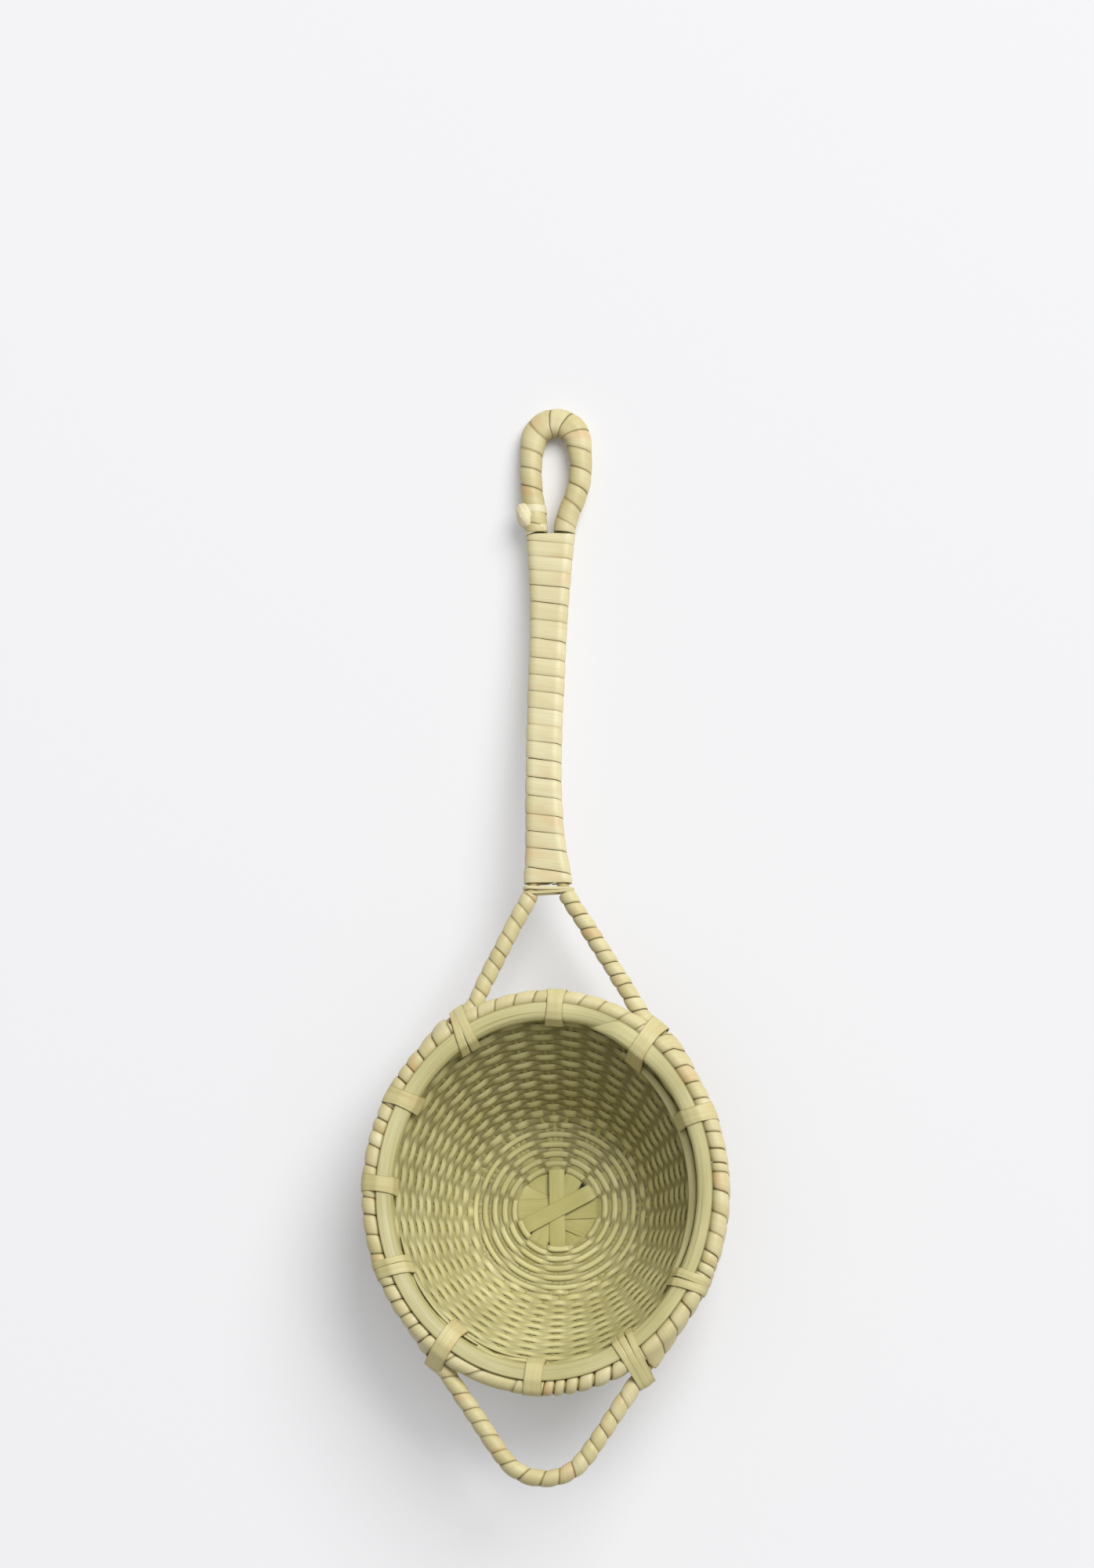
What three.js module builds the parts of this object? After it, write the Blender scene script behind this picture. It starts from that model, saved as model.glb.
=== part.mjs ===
// Bamboo tea strainer: a woven bowl lashed into a bent rod frame, with a wrapped handle and a hanging loop.
// Millimetres, +Z up, the handle along +Y. It lies as on a table, on its bowl and on the end of its loop.
import * as THREE from 'three';

// The rim: two hoops, the outer one measured at the middle of its rod.
const rimHalfAcross = 34.1;
const rimHalfAlong = 38;
const hoopRadius = 1.1;
const bandHeight = 3.6;
const bandThick = 1.1;
const bandRise = 1.1;
const scarfThin = 0.3;
const scarfStart = 61;
const scarfEnd = 83;
const hoopJoint = -93;
const jointGap = 0.4;

// The bowl: base strips crossed like a star, split in three beyond the crotch, and two chasing weavers.
const bowlDepth = 23;
const baseRadius = 18.2;
const cornerRadius = 7;
const stripCount = 6;
const stripWidth = 3.1;
const stripThick = 0.4;
const stripOrder = [3, 5, 4, 2, 0, 1];
const stripTurn = 2;
const crotch = 13.5;
const spreadEnd = 21;
const rampStart = 6.1;
const rampEnd = 9.4;
const warpRise = 0.9;
const weaverWidth = 1.1;
const weaverThick = 0.3;
const weaverStart = 7.9;
const basePitch = 1.45;
const wallPitch = 1.75;
const groupedUntil = 17.2;
const crossLift = 0.8;
const tieRoom = 4.1;
const strandEnds = [12.5, 20, 29];

// The frame: one bent rod under the outer hoop, whose two ends make the handle, and the loop spliced to it.
const rodRadius = 1.1;
const handleRodHalf = 1.3;
const neckStand = 23;
const neckBend = 2.1;
const neckSpread = 0.9;
const handleLength = 69.5;
const handleHalfMiddle = 1.7;
const handleHalfEnd = 2.75;
const handleBow = 0.9;
const legFootStand = 1.9;
const footBend = 6;
const tipStand = 19.2;
const loopLength = 25.1;
const loopHalf = 4.9;
const loopFlare = 12;
const loopLean = 1;
const spliceDepth = 6;
const halves = [
  { name: 'left', sign: -1, foot: 67.5, merge: 40, leave: 40 },
  { name: 'right', sign: 1, foot: 60, merge: 30, leave: 40 },
];

// Bindings: flat strips wound round the rods, and ties round the rim.
const wrapThick = 0.35;
const handleWrapThick = 0.42;
const loopWrapThick = 0.7;
const turnGap = 0.6;
const loopTurnGap = 0.85;
const handleTurns = 20;
const loopTurns = 14;
const legTurns = 8;
const sideTurns = 20;
const tipTurns = 17;
const topTurns = 8;
const beadTurns = 6;
const looseTurns = 2;
const tieThick = 0.45;
const tieWidth = 3.6;
const wideTie = 3.8;
const neckTieWidth = 1.6;
const neckTieDrop = 1.2;
const knotWidth = 4.4;
const knotReach = 2.9;
const knotRise = 3.2;
const knotLump = 1.2;
const ties = [
  { at: 117, width: tieWidth },
  { at: 87, width: tieWidth },
  { at: 56, width: tieWidth },
  { at: 26, width: tieWidth },
  { at: -32, width: tieWidth },
  { at: -62, width: wideTie },
  { at: -93, width: tieWidth },
  { at: -123, width: wideTie },
  { at: -154, width: tieWidth },
  { at: 177, width: tieWidth },
  { at: 147, width: tieWidth },
];

// Clearances: play lies between pieces that touch, seat between the hoops and the wall.
const play = 0.15;
const seat = 0.2;

// Facets and measuring steps.
const turnCorners = 8;
const rodSides = 6;
const bandSpans = 46;
const hullSides = 8;
const hullLooks = 32;
const lookOffset = 0.4;
const slabStep = 0.5;
const stepsPerSpan = 16;
const spans = { handle: 6, leg: 4, foot: 3, oval: 8, tipSide: 3, tip: 4, flare: 4, arc: 3 };
const bendProbe = 1;
const sagitta = 0.05;
const leastBend = 0.004;
const gapPoints = 4;
const frameNear = 6;
const tieRelief = 0.5;
const neckRelief = 3.9;
const footRelief = 3.4;

const deg = Math.PI / 180;
const up = new THREE.Vector3(0, 0, 1);
const stripStep = 360 / (2 * stripCount);
const warpStep = stripStep / 3;
const levelStep = stripThick + play;
const groupLift = stripThick / 2 + play + weaverThick / 2;

// A wrapped rod is an eight-sided turn round its core, so its corners stand out past its flats.
const cornerTurn = Math.PI / 8;
const wrapInner = (rodRadius + play) / Math.cos(cornerTurn);
const wrapOuter = wrapInner + wrapThick;

// A closed body made of rings of corners.
class Body {
  constructor() {
    this.points = [];
    this.faces = [];
  }

  ring(corners) {
    return corners.map((corner) => this.points.push(corner.clone()) - 1);
  }

  fan(corners) {
    for (let i = 1; i < corners.length - 1; i += 1) {
      this.faces.push([corners[0], corners[i], corners[i + 1]]);
    }
  }

  join(from, to) {
    for (let i = 0; i < from.length; i += 1) {
      const next = (i + 1) % from.length;
      this.fan([from[i], from[next], to[next], to[i]]);
    }
  }

  chain(rings) {
    for (let i = 1; i < rings.length; i += 1) {
      this.join(rings[i - 1], rings[i]);
    }
  }

  close(ring, atStart) {
    this.fan(atStart ? [...ring].reverse() : ring);
  }

  // The faces are turned round if the body would otherwise be inside out.
  geometry() {
    const volume = this.faces.reduce((sum, [a, b, c]) => {
      const cross = new THREE.Vector3().crossVectors(this.points[b], this.points[c]);
      return sum + this.points[a].dot(cross);
    }, 0);
    const faces = volume < 0 ? this.faces.map(([a, b, c]) => [a, c, b]) : this.faces;
    const geometry = new THREE.BufferGeometry().setFromPoints(this.points);
    geometry.setIndex(faces.flat());
    geometry.computeVertexNormals();
    return geometry;
  }
}

// A body lofted through rings, with flat ends.
function loft(rings) {
  const body = new Body();
  const placed = rings.map((corners) => body.ring(corners));
  body.chain(placed);
  body.close(placed[0], true);
  body.close(placed[placed.length - 1], false);
  return body.geometry();
}

function smooth(value, low, high) {
  const t = Math.min(Math.max((value - low) / (high - low), 0), 1);
  return t * t * (3 - 2 * t);
}

function ovalRadius(azimuth, across, along) {
  return 1 / Math.hypot(Math.cos(azimuth) / across, Math.sin(azimuth) / along);
}

// The wall stands inside the outer hoop, clear of its wrap.
const leastSlope = Math.atan2(bowlDepth, rimHalfAlong - baseRadius);
const rimInset = (wrapOuter + seat + stripThick / 2) / Math.sin(leastSlope);

// The bowl's profile in one direction: flat base, rounded corner, straight wall.
function profile(azimuth) {
  const rim = ovalRadius(azimuth, rimHalfAcross - rimInset, rimHalfAlong - rimInset);
  const slope = Math.atan2(bowlDepth, rim - baseRadius);
  const tangent = cornerRadius * Math.tan(slope / 2);
  const flat = baseRadius - tangent;
  const arc = cornerRadius * slope;
  const length = flat + arc + Math.hypot(rim - baseRadius, bowlDepth) - tangent;
  return { slope, flat, arc, length };
}

// A point of the bowl: s is measured along the profile from the middle of the base,
// and rise stands off the middle of the wall, inwards when positive.
function bowlPoint(azimuth, s, rise = 0) {
  const { slope, flat, arc } = profile(azimuth);
  const bend = Math.min(Math.max((s - flat) / cornerRadius, 0), slope);
  const straight = Math.max(s - flat - arc, 0);
  const r = Math.min(s, flat) + cornerRadius * Math.sin(bend) + straight * Math.cos(bend);
  const z = cornerRadius * (1 - Math.cos(bend)) + straight * Math.sin(bend) - bowlDepth;
  const reach = r - rise * Math.sin(bend);
  return new THREE.Vector3(
    reach * Math.cos(azimuth),
    reach * Math.sin(azimuth),
    z + rise * Math.cos(bend),
  );
}

// Base strips lie on each other at the middle of the star and come down to one level outside it.
function stripLevel(strip, s) {
  const fromMiddle = stripOrder[strip] - (stripCount - 1) / 2;
  return fromMiddle * levelStep * (1 - smooth(s, rampStart, rampEnd));
}

// Half the angle between the outer tines of a split end.
function tineAngle(s) {
  const split = stripWidth / 3 / crotch;
  return split + (warpStep * deg - split) * smooth(s, crotch, spreadEnd);
}

// Corners across a strip or tine: low left, low right, high right, high left.
function stripRing(azimuth, s, middle, half, side, level) {
  const across = new THREE.Vector3(-Math.sin(azimuth), Math.cos(azimuth), 0).multiplyScalar(side);
  const corner = (shift, rise) => bowlPoint(azimuth, s, level + rise).addScaledVector(across, shift);
  const thick = stripThick / 2;
  return [
    corner(middle - half, -thick),
    corner(middle + half, -thick),
    corner(middle + half, thick),
    corner(middle - half, thick),
  ];
}

// One base strip, running across the base and up both walls, each end split into three tines.
function baseStrip(strip) {
  const body = new Body();
  const azimuth = (stripTurn + strip * stripStep) * deg;
  const ends = [1, -1].map((side) => {
    const direction = side > 0 ? azimuth : azimuth + Math.PI;
    const at = (s) => stripRing(direction, s, 0, stripWidth / 2, side, stripLevel(strip, s));
    const edge = [-1, 0, 1].map((tine) => {
      const middle = tine * stripWidth / 3;
      return stripRing(direction, crotch, middle, stripWidth / 6, side, 0);
    });
    const low = body.ring([edge[0][0], edge[1][0], edge[2][0], edge[2][1]]);
    const high = body.ring([edge[0][3], edge[1][3], edge[2][3], edge[2][2]]);
    [-1, 0, 1].forEach((tine, i) => {
      const turn = (s) => direction + side * tine * tineAngle(s);
      const { flat, arc, length, slope } = profile(direction + side * tine * warpStep * deg);
      const top = length + warpRise / Math.sin(slope);
      const stops = [crotch + 2.5, crotch + 5, flat + arc * 0.7, flat + arc, (flat + arc + top) / 2, top];
      const rings = stops.map((s) => body.ring(stripRing(turn(s), s, 0, stripWidth / 6, side, 0)));
      const run = [[low[i], low[i + 1], high[i + 1], high[i]], ...rings];
      const ordered = side > 0 ? run : run.reverse();
      body.chain(ordered);
      body.close(rings[rings.length - 1], side < 0);
    });
    return { at, low, high };
  });
  const [near, far] = ends;
  const ramp = [1, 0.75, 0.5, 0.25, 0].map((share) => rampStart + share * (rampEnd - rampStart));
  const stops = [crotch - 1.5, ...ramp];
  const rings = [
    ...stops.map((s) => body.ring(far.at(s))),
    ...[...stops].reverse().map((s) => body.ring(near.at(s))),
  ];
  body.chain(rings);
  const first = rings[0];
  const last = rings[rings.length - 1];
  body.fan([last[0], last[1], ...[...near.low].reverse()]);
  body.fan([last[1], last[2], near.high[3], near.low[3]]);
  body.fan([last[2], last[3], ...near.high]);
  body.fan([last[3], last[0], near.low[0], near.high[0]]);
  body.fan([...far.low, first[1], first[0]]);
  body.fan([far.low[3], far.high[3], first[2], first[1]]);
  body.fan([...[...far.high].reverse(), first[3], first[2]]);
  body.fan([far.high[0], far.low[0], first[0], first[3]]);
  return body.geometry();
}

// One weaver: a flat strand that spirals out from the star and up the wall, over and under in turn.
// It crosses each end of a strip as a whole until the tines have spread, and each tine after that.
// Where one length of strand runs out, the next is laid in.
function weaver(phase) {
  const lengths = [[]];
  const pastJoint = (corner, next) => corner.clone().lerp(next, jointGap / corner.distanceTo(next));
  const half = weaverWidth / 2;
  const add = (azimuth, s, lift, strip) => {
    const low = stripLevel(strip, s - half) + lift;
    const high = stripLevel(strip, s + half) + lift;
    const ring = [
      bowlPoint(azimuth, s - half, low - weaverThick / 2),
      bowlPoint(azimuth, s + half, high - weaverThick / 2),
      bowlPoint(azimuth, s + half, high + weaverThick / 2),
      bowlPoint(azimuth, s - half, low + weaverThick / 2),
    ];
    const rings = lengths[lengths.length - 1];
    if (s > strandEnds[lengths.length - 1]) {
      const last = rings[rings.length - 1];
      lengths.push([last.map((corner, i) => pastJoint(corner, ring[i])), ring]);
    } else {
      rings.push(ring);
    }
  };
  const startTurn = phase * Math.PI;
  const endCount = 2 * stripCount;
  let end = phase * stripCount;
  let s = weaverStart;
  while (s < groupedUntil) {
    const azimuth = (stripTurn + end * stripStep) * deg;
    const turned = end * stripStep * deg - startTurn;
    s = weaverStart + 2 * basePitch * turned / (2 * Math.PI);
    const side = (end + phase) % 2 === 0 ? 1 : -1;
    const groupHalf = s < crotch ? stripWidth / 2 / s : tineAngle(s + half) + stripWidth / 6 / s;
    const edge = groupHalf + play / s;
    add(azimuth - edge, s, side * groupLift, end % stripCount);
    add(azimuth + edge, s, side * groupLift, end % stripCount);
    end += 1;
  }
  const groupedAzimuth = (stripTurn + (end - 1) * stripStep) * deg;
  const switchAt = s;
  let warp = 3 * end;
  let done = false;
  while (!done) {
    const tine = warp % 3 - 1;
    const azimuthOfEnd = (stripTurn + Math.floor(warp / 3) * stripStep) * deg;
    const turned = azimuthOfEnd + tine * warpStep * deg - groupedAzimuth;
    s = switchAt + 2 * wallPitch * turned / (2 * Math.PI);
    const azimuth = azimuthOfEnd + tine * tineAngle(s);
    const { length, slope } = profile(azimuth);
    const side = (warp + phase) % 2 === 1 ? 1 : -1;
    done = s + half > length - tieRoom / Math.sin(slope);
    if (!done) add(azimuth, s, side * crossLift, 0);
    warp += 1;
  }
  return lengths.map(loft);
}

// A route through points, measured along its length.
class Route {
  constructor(points) {
    this.curve = new THREE.CatmullRomCurve3(points, false, 'centripetal');
    this.curve.arcLengthDivisions = stepsPerSpan * (points.length - 1);
    this.lengths = this.curve.getLengths();
    this.length = this.lengths[this.lengths.length - 1];
  }

  lengthTo(index) {
    const step = index * stepsPerSpan;
    const low = Math.floor(step);
    const high = Math.min(low + 1, this.lengths.length - 1);
    return THREE.MathUtils.lerp(this.lengths[low], this.lengths[high], step - low);
  }

  at(s) {
    const share = THREE.MathUtils.clamp(s / this.length, 0, 1);
    return { point: this.curve.getPointAt(share), along: this.curve.getTangentAt(share) };
  }

  // Places where a straight-sided rod follows the route within the sagitta.
  stations(from, to) {
    const steps = [];
    let s = from;
    while (s < to) {
      const turned = this.at(s).along.angleTo(this.at(Math.min(s + bendProbe, this.length)).along);
      const step = Math.sqrt(8 * sagitta * bendProbe / Math.max(turned, leastBend));
      steps.push(step);
      s += step;
    }
    const scale = (to - from) / steps.reduce((sum, step) => sum + step, 0);
    const stops = [from];
    steps.forEach((step) => stops.push(stops[stops.length - 1] + step * scale));
    return stops;
  }
}

// A solid rod along a route, its half width across given by a rule.
function rod(route, from, to, halfAcross, halfHigh) {
  return loft(route.stations(from, to).map((s) => {
    const { point, along } = route.at(s);
    const side = new THREE.Vector3().crossVectors(along, up).normalize();
    return Array.from({ length: rodSides }, (_, i) => {
      const angle = (i + 0.5) * 2 * Math.PI / rodSides;
      return point.clone()
        .addScaledVector(side, halfAcross(s) * Math.cos(angle))
        .addScaledVector(up, halfHigh * Math.sin(angle));
    });
  }));
}

// The outer hoop: an oval rod whose ends meet under a tie.
const hoopStep = 8;
function hoopPoint(azimuth) {
  const r = ovalRadius(azimuth, rimHalfAcross, rimHalfAlong);
  return new THREE.Vector3(r * Math.cos(azimuth), r * Math.sin(azimuth), 0);
}
const hoopSpans = 360 / hoopStep;
const hoopRoute = new Route(Array.from(
  { length: hoopSpans + 1 },
  (_, i) => hoopPoint((hoopJoint + i * hoopStep) * deg),
));
const hoopAt = (azimuth) => hoopRoute.lengthTo((azimuth - hoopJoint) / hoopStep);

// The frame's rod, from the top of one side of the handle round the tip to the other.
const rodDrop = hoopRadius + rodRadius + play;
const tipReach = rimHalfAlong + tipStand;
const neckReach = rimHalfAlong + neckStand;
const handleTop = neckReach + handleLength;
const spliceY = handleTop - spliceDepth;
const framePoint = (x, y) => new THREE.Vector3(x, y, -rodDrop);

// The line that the handle and the loop are made about: the handle bows to the left, the loop leans right.
function middleLine(y) {
  const share = THREE.MathUtils.clamp((y - neckReach) / handleLength, 0, 1);
  const bow = handleBow * Math.sin(Math.PI * share) ** 2;
  return loopLean * smooth(y, handleTop, handleTop + loopFlare) - bow;
}
const offMiddle = (point) => point.clone().setX(point.x + middleLine(point.y));

// The handle's rods lie close in the middle and spread at both ends.
function handleHalf(y) {
  const fromMiddle = Math.abs(2 * (y - neckReach) / handleLength - 1);
  return handleHalfMiddle + (handleHalfEnd - handleHalfMiddle) * fromMiddle ** 3;
}

// One half of the frame, on the right: handle, leg, oval side, straight tip side and rounded tip.
function frameHalf({ foot, merge, leave }) {
  const points = [];
  const marks = {};
  const mark = (name) => {
    marks[name] = points.length - 1;
  };
  for (let i = 0; i <= spans.handle; i += 1) {
    const y = THREE.MathUtils.lerp(spliceY - play, neckReach, i / spans.handle);
    points.push(framePoint(handleHalf(y), y));
  }
  mark('neck');
  const beside = (azimuth) => {
    const stand = legFootStand * smooth(azimuth, merge, foot);
    const { x, y } = hoopPoint(azimuth * deg).setLength(hoopPoint(azimuth * deg).length() + stand);
    return framePoint(x, y);
  };
  const legStart = framePoint(handleHalfEnd + neckSpread, neckReach - neckBend);
  const legEnd = beside(foot);
  for (let i = 1; i <= spans.leg; i += 1) {
    points.push(legStart.clone().lerp(legEnd, i / spans.leg));
  }
  mark('foot');
  for (let i = 0; i < spans.foot; i += 1) {
    points.push(beside(THREE.MathUtils.lerp(foot - footBend, merge, i / spans.foot)));
  }
  for (let i = 0; i <= spans.oval; i += 1) {
    const azimuth = THREE.MathUtils.lerp(merge, -leave, i / spans.oval) * deg;
    const { x, y } = hoopPoint(azimuth);
    points.push(framePoint(x, y));
    if (i === 0) mark('merge');
  }
  const last = points[points.length - 1];
  const gradient = Math.atan2(last.y / rimHalfAlong ** 2, last.x / rimHalfAcross ** 2);
  const outward = framePoint(Math.cos(gradient), Math.sin(gradient)).setZ(0);
  const tipMiddle = tipReach - wrapOuter;
  const tipRadius = (last.dot(outward) + tipMiddle * outward.y) / (1 + outward.y);
  const tipCentre = framePoint(0, tipRadius - tipMiddle);
  const tangent = tipCentre.clone().addScaledVector(outward, tipRadius);
  for (let i = 1; i <= spans.tipSide; i += 1) {
    points.push(last.clone().lerp(tangent, i / spans.tipSide));
  }
  for (let i = 1; i <= spans.tip; i += 1) {
    const angle = THREE.MathUtils.lerp(gradient, -Math.PI / 2, i / spans.tip);
    const arm = framePoint(Math.cos(angle), Math.sin(angle)).setZ(0);
    points.push(tipCentre.clone().addScaledVector(arm, tipRadius));
  }
  return { points, marks };
}

const [leftHalf, rightHalf] = halves.map(frameHalf);
const mirrored = leftHalf.points.map(({ x, y, z }) => new THREE.Vector3(-x, y, z));
const frameRoute = new Route([...mirrored, ...rightHalf.points.slice(0, -1).reverse()].map(offMiddle));
const lastFrameIndex = leftHalf.points.length + rightHalf.points.length - 2;
const frameMark = (half, name) => (half.sign < 0
  ? frameRoute.lengthTo(leftHalf.marks[name])
  : frameRoute.lengthTo(lastFrameIndex - rightHalf.marks[name]));

function frameHalfAcross(s) {
  const fromEnd = Math.min(s, frameRoute.length - s);
  const neckAt = frameMark(halves[0], 'neck');
  return handleRodHalf + (rodRadius - handleRodHalf) * smooth(fromEnd, neckAt - loopFlare, neckAt);
}

// The hanging loop: a thinner rod whose ends are spliced to the frame inside the handle's wrap.
const loopTopMiddle = handleTop + loopLength - wrapInner - loopWrapThick;
const loopArcY = loopTopMiddle - loopHalf;
function loopHalfPoints() {
  const points = [framePoint(handleHalf(spliceY), spliceY + play)];
  for (let i = 0; i <= spans.flare; i += 1) {
    const share = i / spans.flare;
    const x = handleHalfEnd + (loopHalf - handleHalfEnd) * smooth(share, 0, 1);
    points.push(framePoint(x, handleTop + loopFlare * share));
  }
  for (let i = 0; i <= spans.arc; i += 1) {
    const angle = Math.PI / 2 * i / spans.arc;
    points.push(framePoint(loopHalf * Math.cos(angle), loopArcY + loopHalf * Math.sin(angle)));
  }
  return points;
}
const loopRight = loopHalfPoints();
const loopLeft = loopRight.map(({ x, y, z }) => new THREE.Vector3(-x, y, z));
const loopRoute = new Route([...loopLeft, ...loopRight.slice(0, -1).reverse()].map(offMiddle));

// Bundles that a strip is wound round: a middle line, and the reach to each rod where two lie together.
const alone = new THREE.Vector3();
const singleBundle = (route) => (s) => ({ ...route.at(s), reach: alone });
const handleBundle = (y) => ({
  point: framePoint(middleLine(y), y),
  along: new THREE.Vector3(0, 1, 0),
  reach: new THREE.Vector3(handleHalf(y) + handleRodHalf - rodRadius, 0, 0),
});

// How far the frame's length runs ahead of the hoop's where the two lie together.
function frameShift(half) {
  const azimuth = half.sign < 0 ? 180 - half.merge : half.merge;
  return frameMark(half, 'merge') - hoopAt(azimuth);
}

function sideBundle(half) {
  const shift = frameShift(half);
  return (s) => {
    const hoop = hoopRoute.at(s);
    const frame = frameRoute.at(s + shift);
    const reach = hoop.point.clone().sub(frame.point).multiplyScalar(0.5);
    return { point: frame.point.clone().add(reach), along: hoop.along, reach };
  };
}

// One corner of a turn: corners go round the bundle, half of them on each rod.
function bundlePoint(bundle, s, corner, out) {
  const { point, along, reach } = bundle(s);
  const first = reach === alone ? up : reach.clone().normalize();
  const second = new THREE.Vector3().crossVectors(along, first);
  const angle = (corner + 0.5) * 2 * Math.PI / turnCorners;
  const r = wrapInner + out;
  return point.clone()
    .addScaledVector(reach, Math.sign(Math.cos(angle)))
    .addScaledVector(first, r * Math.cos(angle))
    .addScaledVector(second, r * Math.sin(angle));
}

// How far round the bundle each corner lies, as shares of one turn.
function turnShares(bundle, s) {
  const walk = [0];
  for (let corner = 1; corner <= turnCorners; corner += 1) {
    const step = bundlePoint(bundle, s, corner, 0).distanceTo(bundlePoint(bundle, s, corner - 1, 0));
    walk.push(walk[corner - 1] + step);
  }
  return walk.map((length) => length / walk[turnCorners]);
}

// The least gap from each turn to the next, on points along the strip's edges.
function leastGap(rings) {
  const edge = (low) => rings.slice(1).flatMap((ring, i) => Array.from(
    { length: gapPoints },
    (_, step) => rings[i][low].clone().lerp(ring[low], step / gapPoints),
  ));
  const turn = turnCorners * gapPoints;
  const reach = 2 * gapPoints;
  const pairs = [[edge(1), edge(0)], [edge(2), edge(3)]];
  let least = Infinity;
  pairs.forEach(([ahead, behind]) => {
    ahead.forEach((point, i) => {
      behind.slice(i + turn - reach, i + turn + reach).forEach((other) => {
        least = Math.min(least, point.distanceTo(other));
      });
    });
  });
  return least;
}

// A strip wound round a bundle, filling the length between two places with whole turns.
function winding({ name, bundle, from, to, turns, thick = wrapThick, gap = turnGap }) {
  const pitch = (to - from + gap) / (turns + 1);
  const half = (pitch - gap) / 2;
  const shares = turnShares(bundle, (from + to) / 2);
  const rings = [];
  for (let i = 0; i <= turns * turnCorners; i += 1) {
    const corner = i % turnCorners;
    const s = from + half + pitch * (Math.floor(i / turnCorners) + shares[corner]);
    rings.push([
      bundlePoint(bundle, s - half, corner, 0),
      bundlePoint(bundle, s + half, corner, 0),
      bundlePoint(bundle, s + half, corner, thick),
      bundlePoint(bundle, s - half, corner, thick),
    ]);
  }
  console.log(`${name}: ${turns} turns, least gap ${leastGap(rings).toFixed(2)} mm`);
  return loft(rings);
}

// The inner hoop: a half-round band leaning with the wall, its thinned ends lapped in a scarf.
const bandSeat = stripThick / 2 + seat;
const bandShape = [[1, 0], [1, 0.5], [0.75, 1], [0.25, 1], [0, 0.5], [0, 0]];
const scarf = scarfEnd - scarfStart;
function bandCorners(turned) {
  const azimuth = (scarfStart + turned) * deg;
  const { length, slope } = profile(azimuth);
  const top = length + bandRise / Math.sin(slope);
  const over = THREE.MathUtils.clamp((turned - 360) / scarf, 0, 1);
  const under = THREE.MathUtils.lerp(scarfThin, 1, Math.min(turned / scarf, 1));
  const thick = bandThick * Math.min(under, THREE.MathUtils.lerp(1, scarfThin, over));
  const covered = bandThick * THREE.MathUtils.lerp(scarfThin, 1, over) + play;
  const low = bandSeat + covered * smooth(turned, 360 - scarf, 360);
  return bandShape.map(([down, out]) => bowlPoint(azimuth, top - down * bandHeight, low + out * thick));
}

function innerHoop() {
  const turns = (360 + scarf) / bandSpans;
  return loft(Array.from({ length: bandSpans + 1 }, (_, i) => bandCorners(i * turns)));
}

// The outline of a strip drawn tight round discs: the corners that lie farthest each way.
function hull(discs, grow) {
  const corners = discs.flatMap(({ x, y, r }) => Array.from({ length: hullSides }, (_, i) => {
    const angle = (i + 0.5) * 2 * Math.PI / hullSides;
    const reach = (r + grow) / Math.cos(Math.PI / hullSides);
    return new THREE.Vector2(x + reach * Math.cos(angle), y + reach * Math.sin(angle));
  }));
  const outline = [];
  for (let i = 0; i < hullLooks; i += 1) {
    const angle = (i + lookOffset) * 2 * Math.PI / hullLooks;
    const look = new THREE.Vector2(Math.cos(angle), Math.sin(angle));
    const farthest = corners.reduce((best, corner) => (corner.dot(look) > best.dot(look) ? corner : best));
    if (!outline.includes(farthest)) outline.push(farthest);
  }
  return outline;
}

// A closed tie of flat strip round discs in a plane, with a lump on its outside where it is knotted.
function tie(discs, width, { origin, outward, across }, lump = []) {
  const shape = new THREE.Shape(hull([...discs, ...lump], play + tieThick));
  shape.holes.push(new THREE.Path(hull(discs, play)));
  const geometry = new THREE.ExtrudeGeometry(shape, { depth: width, bevelEnabled: false });
  geometry.translate(0, 0, -width / 2);
  return geometry.applyMatrix4(new THREE.Matrix4().makeBasis(outward, up, across).setPosition(origin));
}

function planeAt(origin, outward) {
  return { origin, outward, across: new THREE.Vector3().crossVectors(outward, up) };
}

function flatten(point, { origin, outward }, r) {
  const local = point.clone().sub(origin);
  return { x: local.dot(outward), y: local.z, r };
}

// The discs that a route leaves in a tie's plane, over the tie's width.
function crossing(route, plane, width, r) {
  const steps = Math.ceil(route.length / slabStep);
  return Array.from({ length: steps + 1 }, (_, i) => route.at(i * slabStep).point)
    .filter((point) => point.distanceTo(plane.origin) < frameNear)
    .filter((point) => Math.abs(point.clone().sub(plane.origin).dot(plane.across)) < (width + slabStep) / 2)
    .map((point) => flatten(point, plane, r));
}

// A rim tie holds the outer hoop, the inner hoop and the frame where it runs near.
function rimTie(at, width) {
  const origin = hoopPoint(at * deg);
  const gradient = Math.atan2(origin.y / rimHalfAlong ** 2, origin.x / rimHalfAcross ** 2);
  const plane = planeAt(origin, new THREE.Vector3(Math.cos(gradient), Math.sin(gradient), 0));
  const middle = THREE.MathUtils.euclideanModulo(at - scarfStart, 360);
  const spread = width / 2 / origin.length() / deg;
  const band = [-spread, 0, spread].flatMap((turned) => bandCorners(middle + turned));
  const discs = [
    ...crossing(hoopRoute, plane, width, wrapOuter),
    ...crossing(frameRoute, plane, width, wrapOuter),
    ...band.map((point) => flatten(point, plane, 0)),
  ];
  return tie(discs, width, plane);
}

// Where a rim tie ends, on one side of it, along the outer hoop.
function tieEdge(at, side) {
  const { width } = ties.find((tied) => tied.at === at);
  const middle = hoopAt(THREE.MathUtils.euclideanModulo(at - hoopJoint, 360) + hoopJoint);
  return THREE.MathUtils.euclideanModulo(middle + side * (width / 2 + tieRelief), hoopRoute.length);
}

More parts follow.
